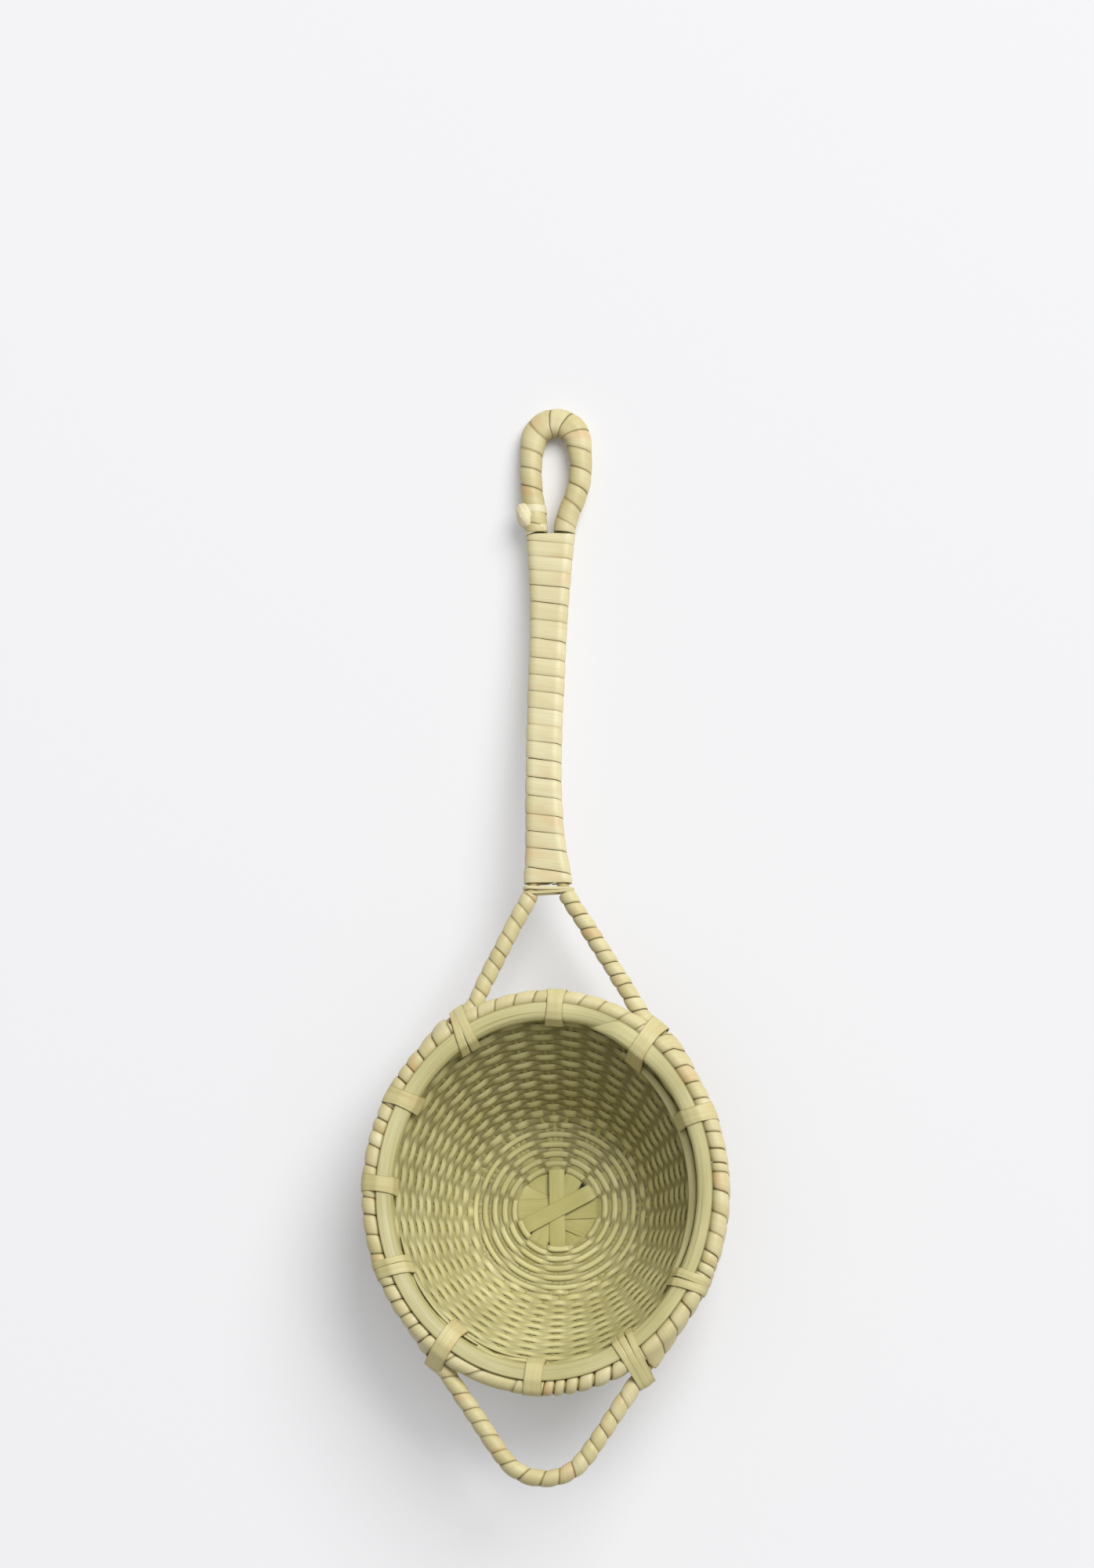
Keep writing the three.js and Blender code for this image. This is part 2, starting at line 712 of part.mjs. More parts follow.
// Two ties off the rim: one round both legs at the neck, and a knotted one round the loop's left leg.
function neckTie() {
  const plane = planeAt(framePoint(0, neckReach - neckTieDrop), new THREE.Vector3(1, 0, 0));
  const near = crossing(frameRoute, plane, neckTieWidth, handleRodHalf);
  return tie(near, neckTieWidth, plane);
}

function loopKnot() {
  const { point, along } = loopRoute.at(spliceDepth + knotRise);
  const plane = planeAt(point, new THREE.Vector3().crossVectors(up, along));
  const near = crossing(loopRoute, plane, knotWidth, wrapInner + loopWrapThick);
  return tie(near, knotWidth, plane, [{ x: knotReach - tieThick, y: 0, r: knotLump }]);
}

const weaveMaterial = new THREE.MeshStandardMaterial({ color: '#bfb878', roughness: 0.6, metalness: 0 });
const rodMaterial = new THREE.MeshStandardMaterial({ color: '#cdbb80', roughness: 0.6, metalness: 0 });
const stripMaterial = new THREE.MeshStandardMaterial({ color: '#dccf9c', roughness: 0.55, metalness: 0 });

const laid = new THREE.Group();
function piece(name, geometry, material) {
  const mesh = new THREE.Mesh(geometry, material.clone());
  mesh.name = name;
  laid.add(mesh);
  return mesh;
}

for (let strip = 0; strip < stripCount; strip += 1) {
  piece(`base_strip_${strip + 1}`, baseStrip(strip), weaveMaterial);
}
['a', 'b'].forEach((letter, phase) => {
  weaver(phase).forEach((length, i) => piece(`weaver_${letter}_${i + 1}`, length, weaveMaterial));
});

const hoopEnds = [jointGap / 2, hoopRoute.length - jointGap / 2];
piece('outer_hoop', rod(hoopRoute, ...hoopEnds, () => hoopRadius, hoopRadius), rodMaterial);
piece('inner_hoop', innerHoop(), stripMaterial);
piece('frame_rod', rod(frameRoute, 0, frameRoute.length, frameHalfAcross, rodRadius), rodMaterial);
piece('loop_rod', rod(loopRoute, 0, loopRoute.length, () => rodRadius, rodRadius), rodMaterial);

const [left, right] = halves;
const onHoop = singleBundle(hoopRoute);
const onFrame = singleBundle(frameRoute);
const windings = [
  {
    name: 'handle_wrap',
    bundle: handleBundle,
    from: neckReach,
    to: handleTop,
    turns: handleTurns,
    thick: handleWrapThick,
  },
  {
    name: 'loop_wrap',
    bundle: singleBundle(loopRoute),
    from: spliceDepth + play,
    to: loopRoute.length - spliceDepth - play,
    turns: loopTurns,
    thick: loopWrapThick,
    gap: loopTurnGap,
  },
  {
    name: 'leg_wrap_left',
    bundle: onFrame,
    from: frameMark(left, 'neck') + neckRelief,
    to: frameMark(left, 'foot') - footRelief,
    turns: legTurns,
  },
  {
    name: 'leg_wrap_right',
    bundle: onFrame,
    from: frameMark(right, 'foot') + footRelief,
    to: frameMark(right, 'neck') - neckRelief,
    turns: legTurns,
  },
  {
    name: 'side_wrap_left',
    bundle: sideBundle(left),
    from: tieEdge(117, 1),
    to: tieEdge(-123, -1),
    turns: sideTurns,
  },
  {
    name: 'side_wrap_right',
    bundle: sideBundle(right),
    from: tieEdge(-62, 1),
    to: tieEdge(56, -1),
    turns: sideTurns,
  },
  {
    name: 'tip_wrap',
    bundle: onFrame,
    from: tieEdge(-123, 1) + frameShift(left),
    to: tieEdge(-62, -1) + frameShift(right),
    turns: tipTurns,
  },
  {
    name: 'hoop_wrap_top',
    bundle: onHoop,
    from: tieEdge(56, 1),
    to: tieEdge(117, -1),
    turns: topTurns,
  },
  {
    name: 'hoop_wrap_right',
    bundle: onHoop,
    from: tieEdge(-93, 1),
    to: tieEdge(-62, -1),
    turns: beadTurns,
  },
  {
    name: 'hoop_wrap_left',
    bundle: onHoop,
    from: tieEdge(-123, 1),
    to: tieEdge(-93, -1),
    turns: looseTurns,
  },
];
windings.forEach((wound) => piece(wound.name, winding(wound), stripMaterial));

ties.forEach(({ at, width }, i) => piece(`rim_tie_${i + 1}`, rimTie(at, width), stripMaterial));
piece('neck_tie', neckTie(), stripMaterial);
piece('loop_knot', loopKnot(), stripMaterial);

// Laid down: the strainer leans until the base's rounded edge and the loop's end touch one plane.
const baseEdge = new THREE.Vector2(profile(Math.PI / 2).flat, cornerRadius - bowlDepth);
const loopEnd = new THREE.Vector2(loopTopMiddle, -rodDrop);
const reachOfRests = loopEnd.sub(baseEdge);
const drop = cornerRadius + crossLift + weaverThick / 2 - wrapInner - loopWrapThick;
laid.rotation.x = -reachOfRests.angle() - Math.asin(drop / reachOfRests.length());

const strainer = new THREE.Group();
strainer.add(laid);
const box = new THREE.Box3().setFromObject(strainer, true);
const middle = box.getCenter(new THREE.Vector3());
strainer.position.set(-middle.x, -middle.y, -box.min.z);

export default strainer;
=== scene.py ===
import math

import bpy
import numpy as np
from mathutils import Matrix, Vector


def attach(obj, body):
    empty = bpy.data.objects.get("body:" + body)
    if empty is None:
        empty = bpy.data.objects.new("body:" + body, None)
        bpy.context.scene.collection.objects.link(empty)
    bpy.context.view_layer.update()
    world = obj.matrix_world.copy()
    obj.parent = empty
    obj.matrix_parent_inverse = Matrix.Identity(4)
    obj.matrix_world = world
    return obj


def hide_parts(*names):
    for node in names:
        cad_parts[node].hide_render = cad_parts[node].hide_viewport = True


bl_info = {
    "name": "Bamboo Tea Strainer",
    "version": (1, 0, 0),
    "blender": (4, 5, 0),
    "location": "View3D > Sidebar > Strainer",
    "description": "Weaves the bowl, winds the frame and ties the rim of a bamboo tea strainer",
    "category": "Add Mesh",
}

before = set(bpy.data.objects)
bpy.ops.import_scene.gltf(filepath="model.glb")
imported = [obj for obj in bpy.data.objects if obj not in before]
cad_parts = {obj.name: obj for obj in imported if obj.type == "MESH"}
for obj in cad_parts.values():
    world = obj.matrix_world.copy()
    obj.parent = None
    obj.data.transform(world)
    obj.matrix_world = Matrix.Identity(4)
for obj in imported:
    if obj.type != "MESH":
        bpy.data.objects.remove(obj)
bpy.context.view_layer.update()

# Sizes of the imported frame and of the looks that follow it, in millimetres, and places round the rim, in
# degrees. They are measured in the rim's own frame: the rim's middle is the origin, +Y runs up the handle
# and +Z out of the bowl.
RIM_HALF_ACROSS = 34.1
RIM_HALF_ALONG = 38.0
HOOP_RADIUS = 1.1
HOOP_JOINT = -93
HOOP_END_GAP = 0.2
BAND_HEIGHT = 4.7
BAND_THICK = 1.1
BAND_FULL = 1.85
BAND_RISE = 2.1
BAND_LEAN = 0.7
LATH_THICK = 0.45
SCARF_THIN = 0.3
SCARF_START = 61
SCARF_END = 83
SCARF_LAST = 377
SCARF_CUT = 366
BOWL_DEPTH = 23
BASE_RADIUS = 18.2
CORNER_RADIUS = 7
STRIP_ENDS = 12
STRIP_WIDTH = 3.1
STRIP_ORDER = (2, 5, 3, 4, 0, 1)
STRIP_TURN = 2
# How each strip lies in the star: turned by degrees, and moved over.
STRIP_LAY = ((0, 0), (-4.5, -0.25), (-1, 0.1), (-1, 0), (0, 0), (4, 0.7))
TINES = 3 * STRIP_ENDS
TINE_WIDTH = STRIP_WIDTH / 3
CROTCH = 13.5
SPREAD_END = 21
RAMP = (6.1, 9.4)
LEVEL_STEP = 0.3
WARP_RISE = 0.9
GROUPED_UNTIL = 16.6
SPARE_TURNS = 1.6
TINE_STEPS = 8
TRIM_ABOVE = 1.2
WEFT_SUNK = 0.12
# The azimuth, in degrees, where the weave's painted shade is deepest.
SHADED_SIDE = 80
ROD_RADIUS = 1.1
WRAP_OUTER = 1.7
TIE_SEAT = 1.45
TIE_WIDTH = 3.6
TIE_LAP = 0.2
TIE_STANDS = 1.3
TIE_CROWN = 0.07
TIE_REACH = 6
TURN_STEPS = 32
TURN_UNEVEN = 0.25
TURN_DIPS = 0.05
ROD_SIDES = 16
ROD_STEP = 1.2
# The knot beside the loop: how far up the leg, and its middle and half sizes outward, up and along the leg.
KNOT_AT = 3.0
KNOT_MIDDLE = (1.9, 1.0, 0.7)
KNOT_HALF = (1.75, 1.7, 2.55)
KNOT_REACH = 3
KNOT_WIDTH = 4.4
NECK_TIE_BELOW = 1.2
NECK_TIE_WIDTH = 1.6
# The painted shade inside the loop's arch: how far below its top, how far it reaches, and how dark it is.
ARCH_SHADE_BELOW = 5.6
ARCH_SHADE_REACH = 3.2
ARCH_SHADE_AMOUNT = 0.38
PLAY = 0.15
SEAT = 0.2
WALL_CLEAR = 0.2
HANDLE_ROD_HALF = 1.3
NECK_REACH = RIM_HALF_ALONG + 23
NECK_BEND = 2.1
NECK_SPREAD = 0.9
HANDLE_LENGTH = 69.5
HANDLE_TOP = NECK_REACH + HANDLE_LENGTH
HANDLE_HALF_MIDDLE = 1.7
HANDLE_HALF_END = 2.75
HANDLE_BOW = 1.05
LEG_FOOT_STAND = 1.9
LEG_WRAP_START = 2.1
UNDER_TIE = 1.5
FOOT_BEND = 6
TIP_REACH = RIM_HALF_ALONG + 19.2
LOOP_LENGTH = 25.1
LOOP_HALF = 4.9
LOOP_FLARE = 12
LOOP_LEAN = 1.0
LOOP_OUTER = 2.05
LOOP_CLEARS_FLOOR = 0.16
SPLICE_DEPTH = 6
ROD_DROP = HOOP_RADIUS + ROD_RADIUS + PLAY
# Where each half of the frame meets the hoop, comes under it, and leaves it for the tip.
LEFT = {"foot": 67.5, "merge": 40, "leave": 40}
RIGHT = {"foot": 60, "merge": 30, "leave": 40}

# How the rim's frame lies in the row's frame, as it rests on a table.
LAID_TILT = math.radians(-8.0356)
LAID_AT = np.array([0.3833, -48.3582, 25.7779])

# The lamp and the camera in the row's frame: places in metres, angles in degrees.
LAMP_AT = (1.25, 1.55, 2.35)
LAMP_AIM = (0, 0, 0.01)
LAMP_SIZE = 2.0
CAMERA_LENS = 236.1
CAMERA_SENSOR = 36
CAMERA_AIM = (0.00085, 0.03094, 0.02)
CAMERA_AWAY = 2.0
CAMERA_ASIDE = 6.0
CAMERA_AHEAD = -2.59
CAMERA_ROLL = -0.5
PAPER = "#f4f4f6"

UP = np.array([0.0, 0.0, 1.0])
MM = 0.001
# Where the points of a thin strip lie across it, as shares of its width.
STRIP_COLUMNS = np.array([-0.5, -0.3, 0, 0.3, 0.5])


# Lines and outlines, in millimetres


def smooth(value, low, high):
    """Rises from 0 at low to 1 at high, level at both."""
    t = np.clip((value - low) / (high - low), 0, 1)
    return t * t * (3 - 2 * t)


def unit(vectors):
    """The same directions at length 1."""
    return vectors / np.linalg.norm(vectors, axis=-1, keepdims=True)


def walked(line):
    """The length walked along a line of points, at each of them."""
    return np.concatenate([[0], np.cumsum(np.linalg.norm(np.diff(line, axis=0), axis=1))])


def drift(at, seed, step=1.0):
    """A smooth random value between -1 and 1 that changes over each step of at."""
    values = np.random.default_rng(seed).uniform(-1, 1, 4096)
    spot = np.asarray(at, float) / step + 2048
    low = np.floor(spot).astype(int)
    share = smooth(spot - low, 0, 1)
    return values[low % 4096] * (1 - share) + values[(low + 1) % 4096] * share


class Route:
    """A smooth line through points, measured along its length."""

    STEPS = 24

    def __init__(self, points):
        points = np.asarray(points, float)
        ends = [2 * points[0] - points[1], *points, 2 * points[-1] - points[-2]]
        share = np.linspace(0, 1, self.STEPS, endpoint=False)[:, None]
        spans = [self.span(*four, share) for four in zip(ends, ends[1:], ends[2:], ends[3:])]
        self.points = np.vstack([*spans, points[-1:]])
        self.lengths = walked(self.points)
        self.length = self.lengths[-1]
        self.ahead = unit(np.gradient(self.points, axis=0))

    @staticmethod
    def span(a, b, c, d, share):
        """One span of a centripetal Catmull-Rom curve, from b towards c."""
        knots = np.cumsum([0, *(np.linalg.norm(q - p) ** 0.5 for p, q in ((a, b), (b, c), (c, d)))])
        t = knots[1] + share * (knots[2] - knots[1])

        def blend(p, q, low, high):
            return p + (q - p) * (t - knots[low]) / (knots[high] - knots[low])

        middle = blend(b, c, 1, 2)
        return blend(blend(blend(a, b, 0, 1), middle, 0, 2), blend(middle, blend(c, d, 2, 3), 1, 3), 1, 2)

    def to(self, index):
        """The length from the start to one of the points."""
        return float(np.interp(index * self.STEPS, np.arange(len(self.lengths)), self.lengths))

    def at(self, s):
        """The points at lengths s and the directions there."""
        def read(table):
            return np.stack([np.interp(s, self.lengths, table[:, i]) for i in range(3)], -1)

        return read(self.points), unit(read(self.ahead))


def oval_radius(azimuth, across, along):
    """How far an oval reaches from its middle in a direction."""
    return 1 / np.hypot(np.cos(azimuth) / across, np.sin(azimuth) / along)


def hoop_point(azimuth, stand=0.0):
    """A point of the outer hoop's middle line, or one that stands outside it."""
    r = oval_radius(azimuth, RIM_HALF_ACROSS, RIM_HALF_ALONG) + stand
    return np.array([r * np.cos(azimuth), r * np.sin(azimuth), 0.0])


def rim_outward(azimuth):
    """The way that the rim faces, level and square to the hoop."""
    x, y, _ = hoop_point(azimuth)
    return unit(np.array([x / RIM_HALF_ACROSS ** 2, y / RIM_HALF_ALONG ** 2, 0.0]))


HOOP_STEP = 4
hoop_route = Route([
    hoop_point(math.radians(HOOP_JOINT + turned)) for turned in range(0, 360 + HOOP_STEP, HOOP_STEP)
])


def hoop_at(azimuth):
    """The length along the hoop at an azimuth in degrees, counted from the joint's."""
    return hoop_route.to((azimuth - HOOP_JOINT) / HOOP_STEP)


def frame_point(x, y):
    """A point at the height of the frame's rod."""
    return np.array([x, y, -ROD_DROP])


def middle_line(y):
    """The line that the handle and the loop are made about: the handle bows left, the loop leans right."""
    share = np.clip((y - NECK_REACH) / HANDLE_LENGTH, 0, 1)
    bow = HANDLE_BOW * np.sin(math.pi * share ** 0.6) ** 2
    return LOOP_LEAN * smooth(y, HANDLE_TOP, HANDLE_TOP + LOOP_FLARE) - bow


def off_middle(points):
    """Points made about a straight middle line, moved over to the real one."""
    shift = middle_line(points[:, 1])
    return points + np.stack([shift, 0 * shift, 0 * shift], -1)


def handle_half(y):
    """How far the handle's two rods stand from its middle line."""
    from_middle = np.abs(2 * (y - NECK_REACH) / HANDLE_LENGTH - 1)
    return HANDLE_HALF_MIDDLE + (HANDLE_HALF_END - HANDLE_HALF_MIDDLE) * from_middle ** 3


def frame_half(foot, merge, leave):
    """One half of the frame's rod, on the right: handle, leg, oval side, tip side and rounded tip."""
    points = [
        frame_point(handle_half(y), y)
        for y in np.linspace(HANDLE_TOP - SPLICE_DEPTH - PLAY, NECK_REACH, 7)
    ]
    marks = {"neck": len(points) - 1}

    def beside(azimuth):
        stand = LEG_FOOT_STAND * smooth(azimuth, merge, foot)
        return hoop_point(math.radians(azimuth), stand) - [0, 0, ROD_DROP]

    leg_start = frame_point(HANDLE_HALF_END + NECK_SPREAD, NECK_REACH - NECK_BEND)
    leg_end = beside(foot)
    points += [leg_start + (leg_end - leg_start) * share for share in (0.25, 0.5, 0.75, 1)]
    marks["foot"] = len(points) - 1
    bend = foot - FOOT_BEND
    points += [beside(bend + (merge - bend) * share) for share in (0, 1 / 3, 2 / 3)]
    marks["merge"] = len(points)
    points += [beside(azimuth) for azimuth in np.linspace(merge, -leave, 9)]
    last = points[-1]
    outward = rim_outward(math.radians(-leave))
    tip_middle = TIP_REACH - WRAP_OUTER
    tip_radius = (last @ outward + tip_middle * outward[1]) / (1 + outward[1])
    tip_centre = frame_point(0, tip_radius - tip_middle)
    tangent = tip_centre + outward * tip_radius
    points += [last + (tangent - last) * share for share in (1 / 3, 2 / 3, 1)]
    start = math.atan2(outward[1], outward[0])
    for angle in np.linspace(start, -math.pi / 2, 5)[1:]:
        arm = np.array([math.cos(angle), math.sin(angle), 0.0])
        points.append(tip_centre + arm * tip_radius)
    return np.array(points), marks


LEFT["points"], LEFT["marks"] = frame_half(LEFT["foot"], LEFT["merge"], LEFT["leave"])
RIGHT["points"], RIGHT["marks"] = frame_half(RIGHT["foot"], RIGHT["merge"], RIGHT["leave"])
frame_route = Route(off_middle(np.vstack([LEFT["points"] * [-1, 1, 1], RIGHT["points"][:-1][::-1]])))


def frame_at(half, mark):
    """The length along the frame's rod at a named place of one half."""
    index = half["marks"][mark]
    if half is LEFT:
        return frame_route.to(index)
    return frame_route.to(len(LEFT["points"]) + len(RIGHT["points"]) - 2 - index)


def loop_half():
    """One half of the hanging loop, on the right, from its splice inside the handle to its top."""
    splice = HANDLE_TOP - SPLICE_DEPTH
    points = [frame_point(handle_half(splice), splice + PLAY)]
    for share in np.linspace(0, 1, 5):
        x = HANDLE_HALF_END + (LOOP_HALF - HANDLE_HALF_END) * smooth(share, 0, 1)
        points.append(frame_point(x, HANDLE_TOP + LOOP_FLARE * share))
    arc_y = HANDLE_TOP + LOOP_LENGTH - LOOP_OUTER - LOOP_HALF
    for angle in np.linspace(0, math.pi / 2, 6):
        points.append(frame_point(LOOP_HALF * math.cos(angle), arc_y + LOOP_HALF * math.sin(angle)))
    return np.array(points)


loop_route = Route(off_middle(np.vstack([loop_half() * [-1, 1, 1], loop_half()[:-1][::-1]])))

# The wall stands inside the outer hoop, clear of its wrap.
RIM_INSET = (WRAP_OUTER + SEAT + WALL_CLEAR) / math.sin(math.atan2(BOWL_DEPTH, RIM_HALF_ALONG - BASE_RADIUS))


def profile(azimuth):
    """The bowl's profile in a direction: the wall's slope, the flat's and the corner's length, and all."""
    rim = oval_radius(azimuth, RIM_HALF_ACROSS - RIM_INSET, RIM_HALF_ALONG - RIM_INSET)
    slope = np.arctan2(BOWL_DEPTH, rim - BASE_RADIUS)
    tangent = CORNER_RADIUS * np.tan(slope / 2)
    flat = BASE_RADIUS - tangent
    arc = CORNER_RADIUS * slope
    length = flat + arc + np.hypot(rim - BASE_RADIUS, BOWL_DEPTH) - tangent
    return slope, flat, arc, length


def above_rim(azimuth, rise):
    """The length up the bowl's profile to where it stands rise above the hoop's middle."""
    slope, _, _, length = profile(azimuth)
    return length + rise / np.sin(slope)


def bowl_point(azimuth, s, rise=0.0):
    """Points of the bowl: s runs up the profile from the base's middle, and rise stands inwards off it."""
    slope, flat, arc, _ = profile(azimuth)
    bend = np.clip((s - flat) / CORNER_RADIUS, 0, slope)
    straight = np.maximum(s - flat - arc, 0)
    r = np.minimum(s, flat) + CORNER_RADIUS * np.sin(bend) + straight * np.cos(bend)
    z = CORNER_RADIUS * (1 - np.cos(bend)) + straight * np.sin(bend) - BOWL_DEPTH
    reach = r - rise * np.sin(bend)
    return np.stack([reach * np.cos(azimuth), reach * np.sin(azimuth), z + rise * np.cos(bend)], -1)


def rim_lean(azimuth, s):
    """How far the wall is pressed outwards against the wound hoop, near the rim."""
    length = profile(azimuth)[3]
    return 0.5 * smooth(s, length - 5, length)


def strip_level(strip, s):
    """How high a base strip lies in the star's pile at s: all come down to one level outside it."""
    from_middle = np.take(STRIP_ORDER, strip) - (len(STRIP_ORDER) - 1) / 2
    return from_middle * LEVEL_STEP * (1 - smooth(s, *RAMP))


def tine_angle(s):
    """The angle from the middle of a split end to its outer tines."""
    split = TINE_WIDTH / CROTCH
    return split + (2 * math.pi / TINES - split) * smooth(s, CROTCH, SPREAD_END)


def outline(discs, grow, count):
    """Points spaced evenly round the strip drawn tight round discs, each (x, y, radius)."""
    discs = np.asarray(discs, float)
    angles = np.linspace(0, 2 * math.pi, 240, endpoint=False)
    looks = np.stack([np.cos(angles), np.sin(angles)], -1)
    farthest = np.argmax(looks @ discs[:, :2].T + discs[:, 2], axis=1)
    corners = discs[farthest, :2] + looks * (discs[farthest, 2:] + grow)
    ring = np.vstack([corners, corners[:1]])
    walk = walked(ring)
    even = np.linspace(0, walk[-1], count + 1)
    return np.stack([np.interp(even, walk, ring[:, i]) for i in range(2)], -1), even


# Meshes


def deselect():
    """Leaves nothing selected, so that an operator acts on the new piece alone."""
    bpy.ops.object.select_all(action="DESELECT")


def placed(points):
    """Points of the rim's frame, in millimetres, as the row's frame in metres."""
    cos, sin = math.cos(LAID_TILT), math.sin(LAID_TILT)
    turned = np.array([[1, 0, 0], [0, cos, -sin], [0, sin, cos]])
    return (points @ turned.T + LAID_AT) * MM


def sheet(name, points, along, across, edge):
    """A grid bent to points[row, column], with a UV map in millimetres: along the strip and across it.

    edge runs from 0 in the middle of a strip to 1 at its cut edges, where the fibres are darker; it also
    carries painted shade.
    """
    rows, columns = points.shape[:2]
    deselect()
    bpy.ops.mesh.primitive_grid_add(x_subdivisions=columns - 1, y_subdivisions=rows - 1, size=1)
    obj = bpy.context.object
    obj.name = obj.data.name = name
    mesh = obj.data
    mesh.vertices.foreach_set("co", placed(points.reshape(-1, 3)).ravel())
    corners = np.zeros(len(mesh.loops), int)
    mesh.loops.foreach_get("vertex_index", corners)
    u = np.broadcast_to(along, (rows, columns)).ravel()
    v = np.broadcast_to(across, (rows, columns)).ravel()
    mesh.uv_layers.active.data.foreach_set("uv", np.stack([u, v], -1)[corners].ravel())
    cut = mesh.attributes.new("edge", "FLOAT", "POINT")
    cut.data.foreach_set("value", np.broadcast_to(edge, (rows, columns)).ravel())
    mesh.update()
    return obj


def thicken(obj, thickness, angle=45):
    """Gives a bent sheet its thickness, on the side it faces away from, and shades it smooth."""
    modifier = obj.modifiers.new("Thickness", "SOLIDIFY")
    modifier.thickness = thickness * MM
    modifier.offset = -1
    bpy.ops.object.modifier_apply(modifier=modifier.name)
    bpy.ops.object.shade_smooth_by_angle(angle=math.radians(angle))


def join_seams(fill=False):
    """Joins the edges of the active sheet that meet, and closes its open ends where it is a tube."""
    bpy.ops.object.mode_set(mode="EDIT")
    bpy.ops.mesh.select_all(action="SELECT")
    bpy.ops.mesh.remove_doubles(threshold=0.002 * MM)
    if fill:
        bpy.ops.mesh.fill_holes(sides=0)
        bpy.ops.mesh.select_all(action="SELECT")
        bpy.ops.mesh.normals_make_consistent(inside=False)
    bpy.ops.object.mode_set(mode="OBJECT")


def settle(obj, finish, slot, *nodes):
    """Gives a finished piece its material and its body, and hides the imported nodes that it stands for."""
    obj.data.materials.clear()
    obj.data.materials.append(finish)
    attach(obj, "root")
    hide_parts(*nodes)


def paint_shade(obj, place, reach, amount):
    """Paints shade on a strip round a place, as far as reach."""
    co = np.zeros(3 * len(obj.data.vertices))
    obj.data.vertices.foreach_get("co", co)
    from_place = np.linalg.norm(co.reshape(-1, 3) - placed(place), axis=1) / MM
    cut = obj.data.attributes["edge"].data
    value = np.zeros(len(cut))
    cut.foreach_get("value", value)
    value = np.maximum(value, 0.5 + amount * smooth(-from_place, -reach, -0.3 * reach))
    cut.foreach_set("value", value)


def merged(name, pieces):
    """Several meshes as one piece."""
    deselect()
    for piece in pieces:
        piece.select_set(True)
    bpy.context.view_layer.objects.active = pieces[0]
    if len(pieces) > 1:
        bpy.ops.object.join()
    pieces[0].name = pieces[0].data.name = name
    return pieces[0]


def tube(name, points, around, edge=0.0):
    """A closed rod through rings of points, with flat ends."""
    obj = sheet(name, points, walked(points.mean(axis=1))[:, None], around, edge)
    join_seams(fill=True)
    bpy.ops.object.shade_smooth_by_angle(angle=math.radians(50))
    return obj


def rod(name, route, start, end, half_across, half_high):
    """A round rod along a route."""
    s = np.linspace(start, end, int((end - start) / ROD_STEP))
    point, ahead = route.at(s)
    side = unit(np.cross(ahead, UP))
    angles = np.linspace(0, 2 * math.pi, ROD_SIDES + 1)
    wide = np.broadcast_to(half_across(s), s.shape)[:, None, None]
    ring = point[:, None] + side[:, None] * wide * np.cos(angles)[None, :, None]
    ring = ring + UP * (half_high * np.sin(angles))[None, :, None]
    return tube(name, ring, angles * half_high)


# The bowl


def weave_place(azimuth, s):
    """Where a strand is among the warps: a count of split ends, a count of tines, and the pile's level."""
    step = 2 * math.pi / STRIP_ENDS
    spot = (azimuth - math.radians(STRIP_TURN)) / step
    end = np.round(spot)
    local = (spot - end) * step
    tine = tine_angle(s)
    group_edge = np.where(s < CROTCH, STRIP_WIDTH / 2 / s, tine + TINE_WIDTH / 2 / s)
    beyond = np.clip((np.abs(local) - group_edge) / (step / 2 - group_edge), 0, 1)
    group = end + np.sign(local) * beyond / 2
    inside = local / tine
    outside = np.sign(local) * (1 + (np.abs(local) - tine) / (step / 2 - tine) / 2)
    warp = 3 * end + np.where(np.abs(local) < tine, inside, outside)
    low = np.floor(spot).astype(int)
    share = smooth(spot - low, 0.3, 0.7)
    here, ahead = (strip_level((low + i) % len(STRIP_ORDER), s) for i in (0, 1))
    return group, warp, here * (1 - share) + ahead * share


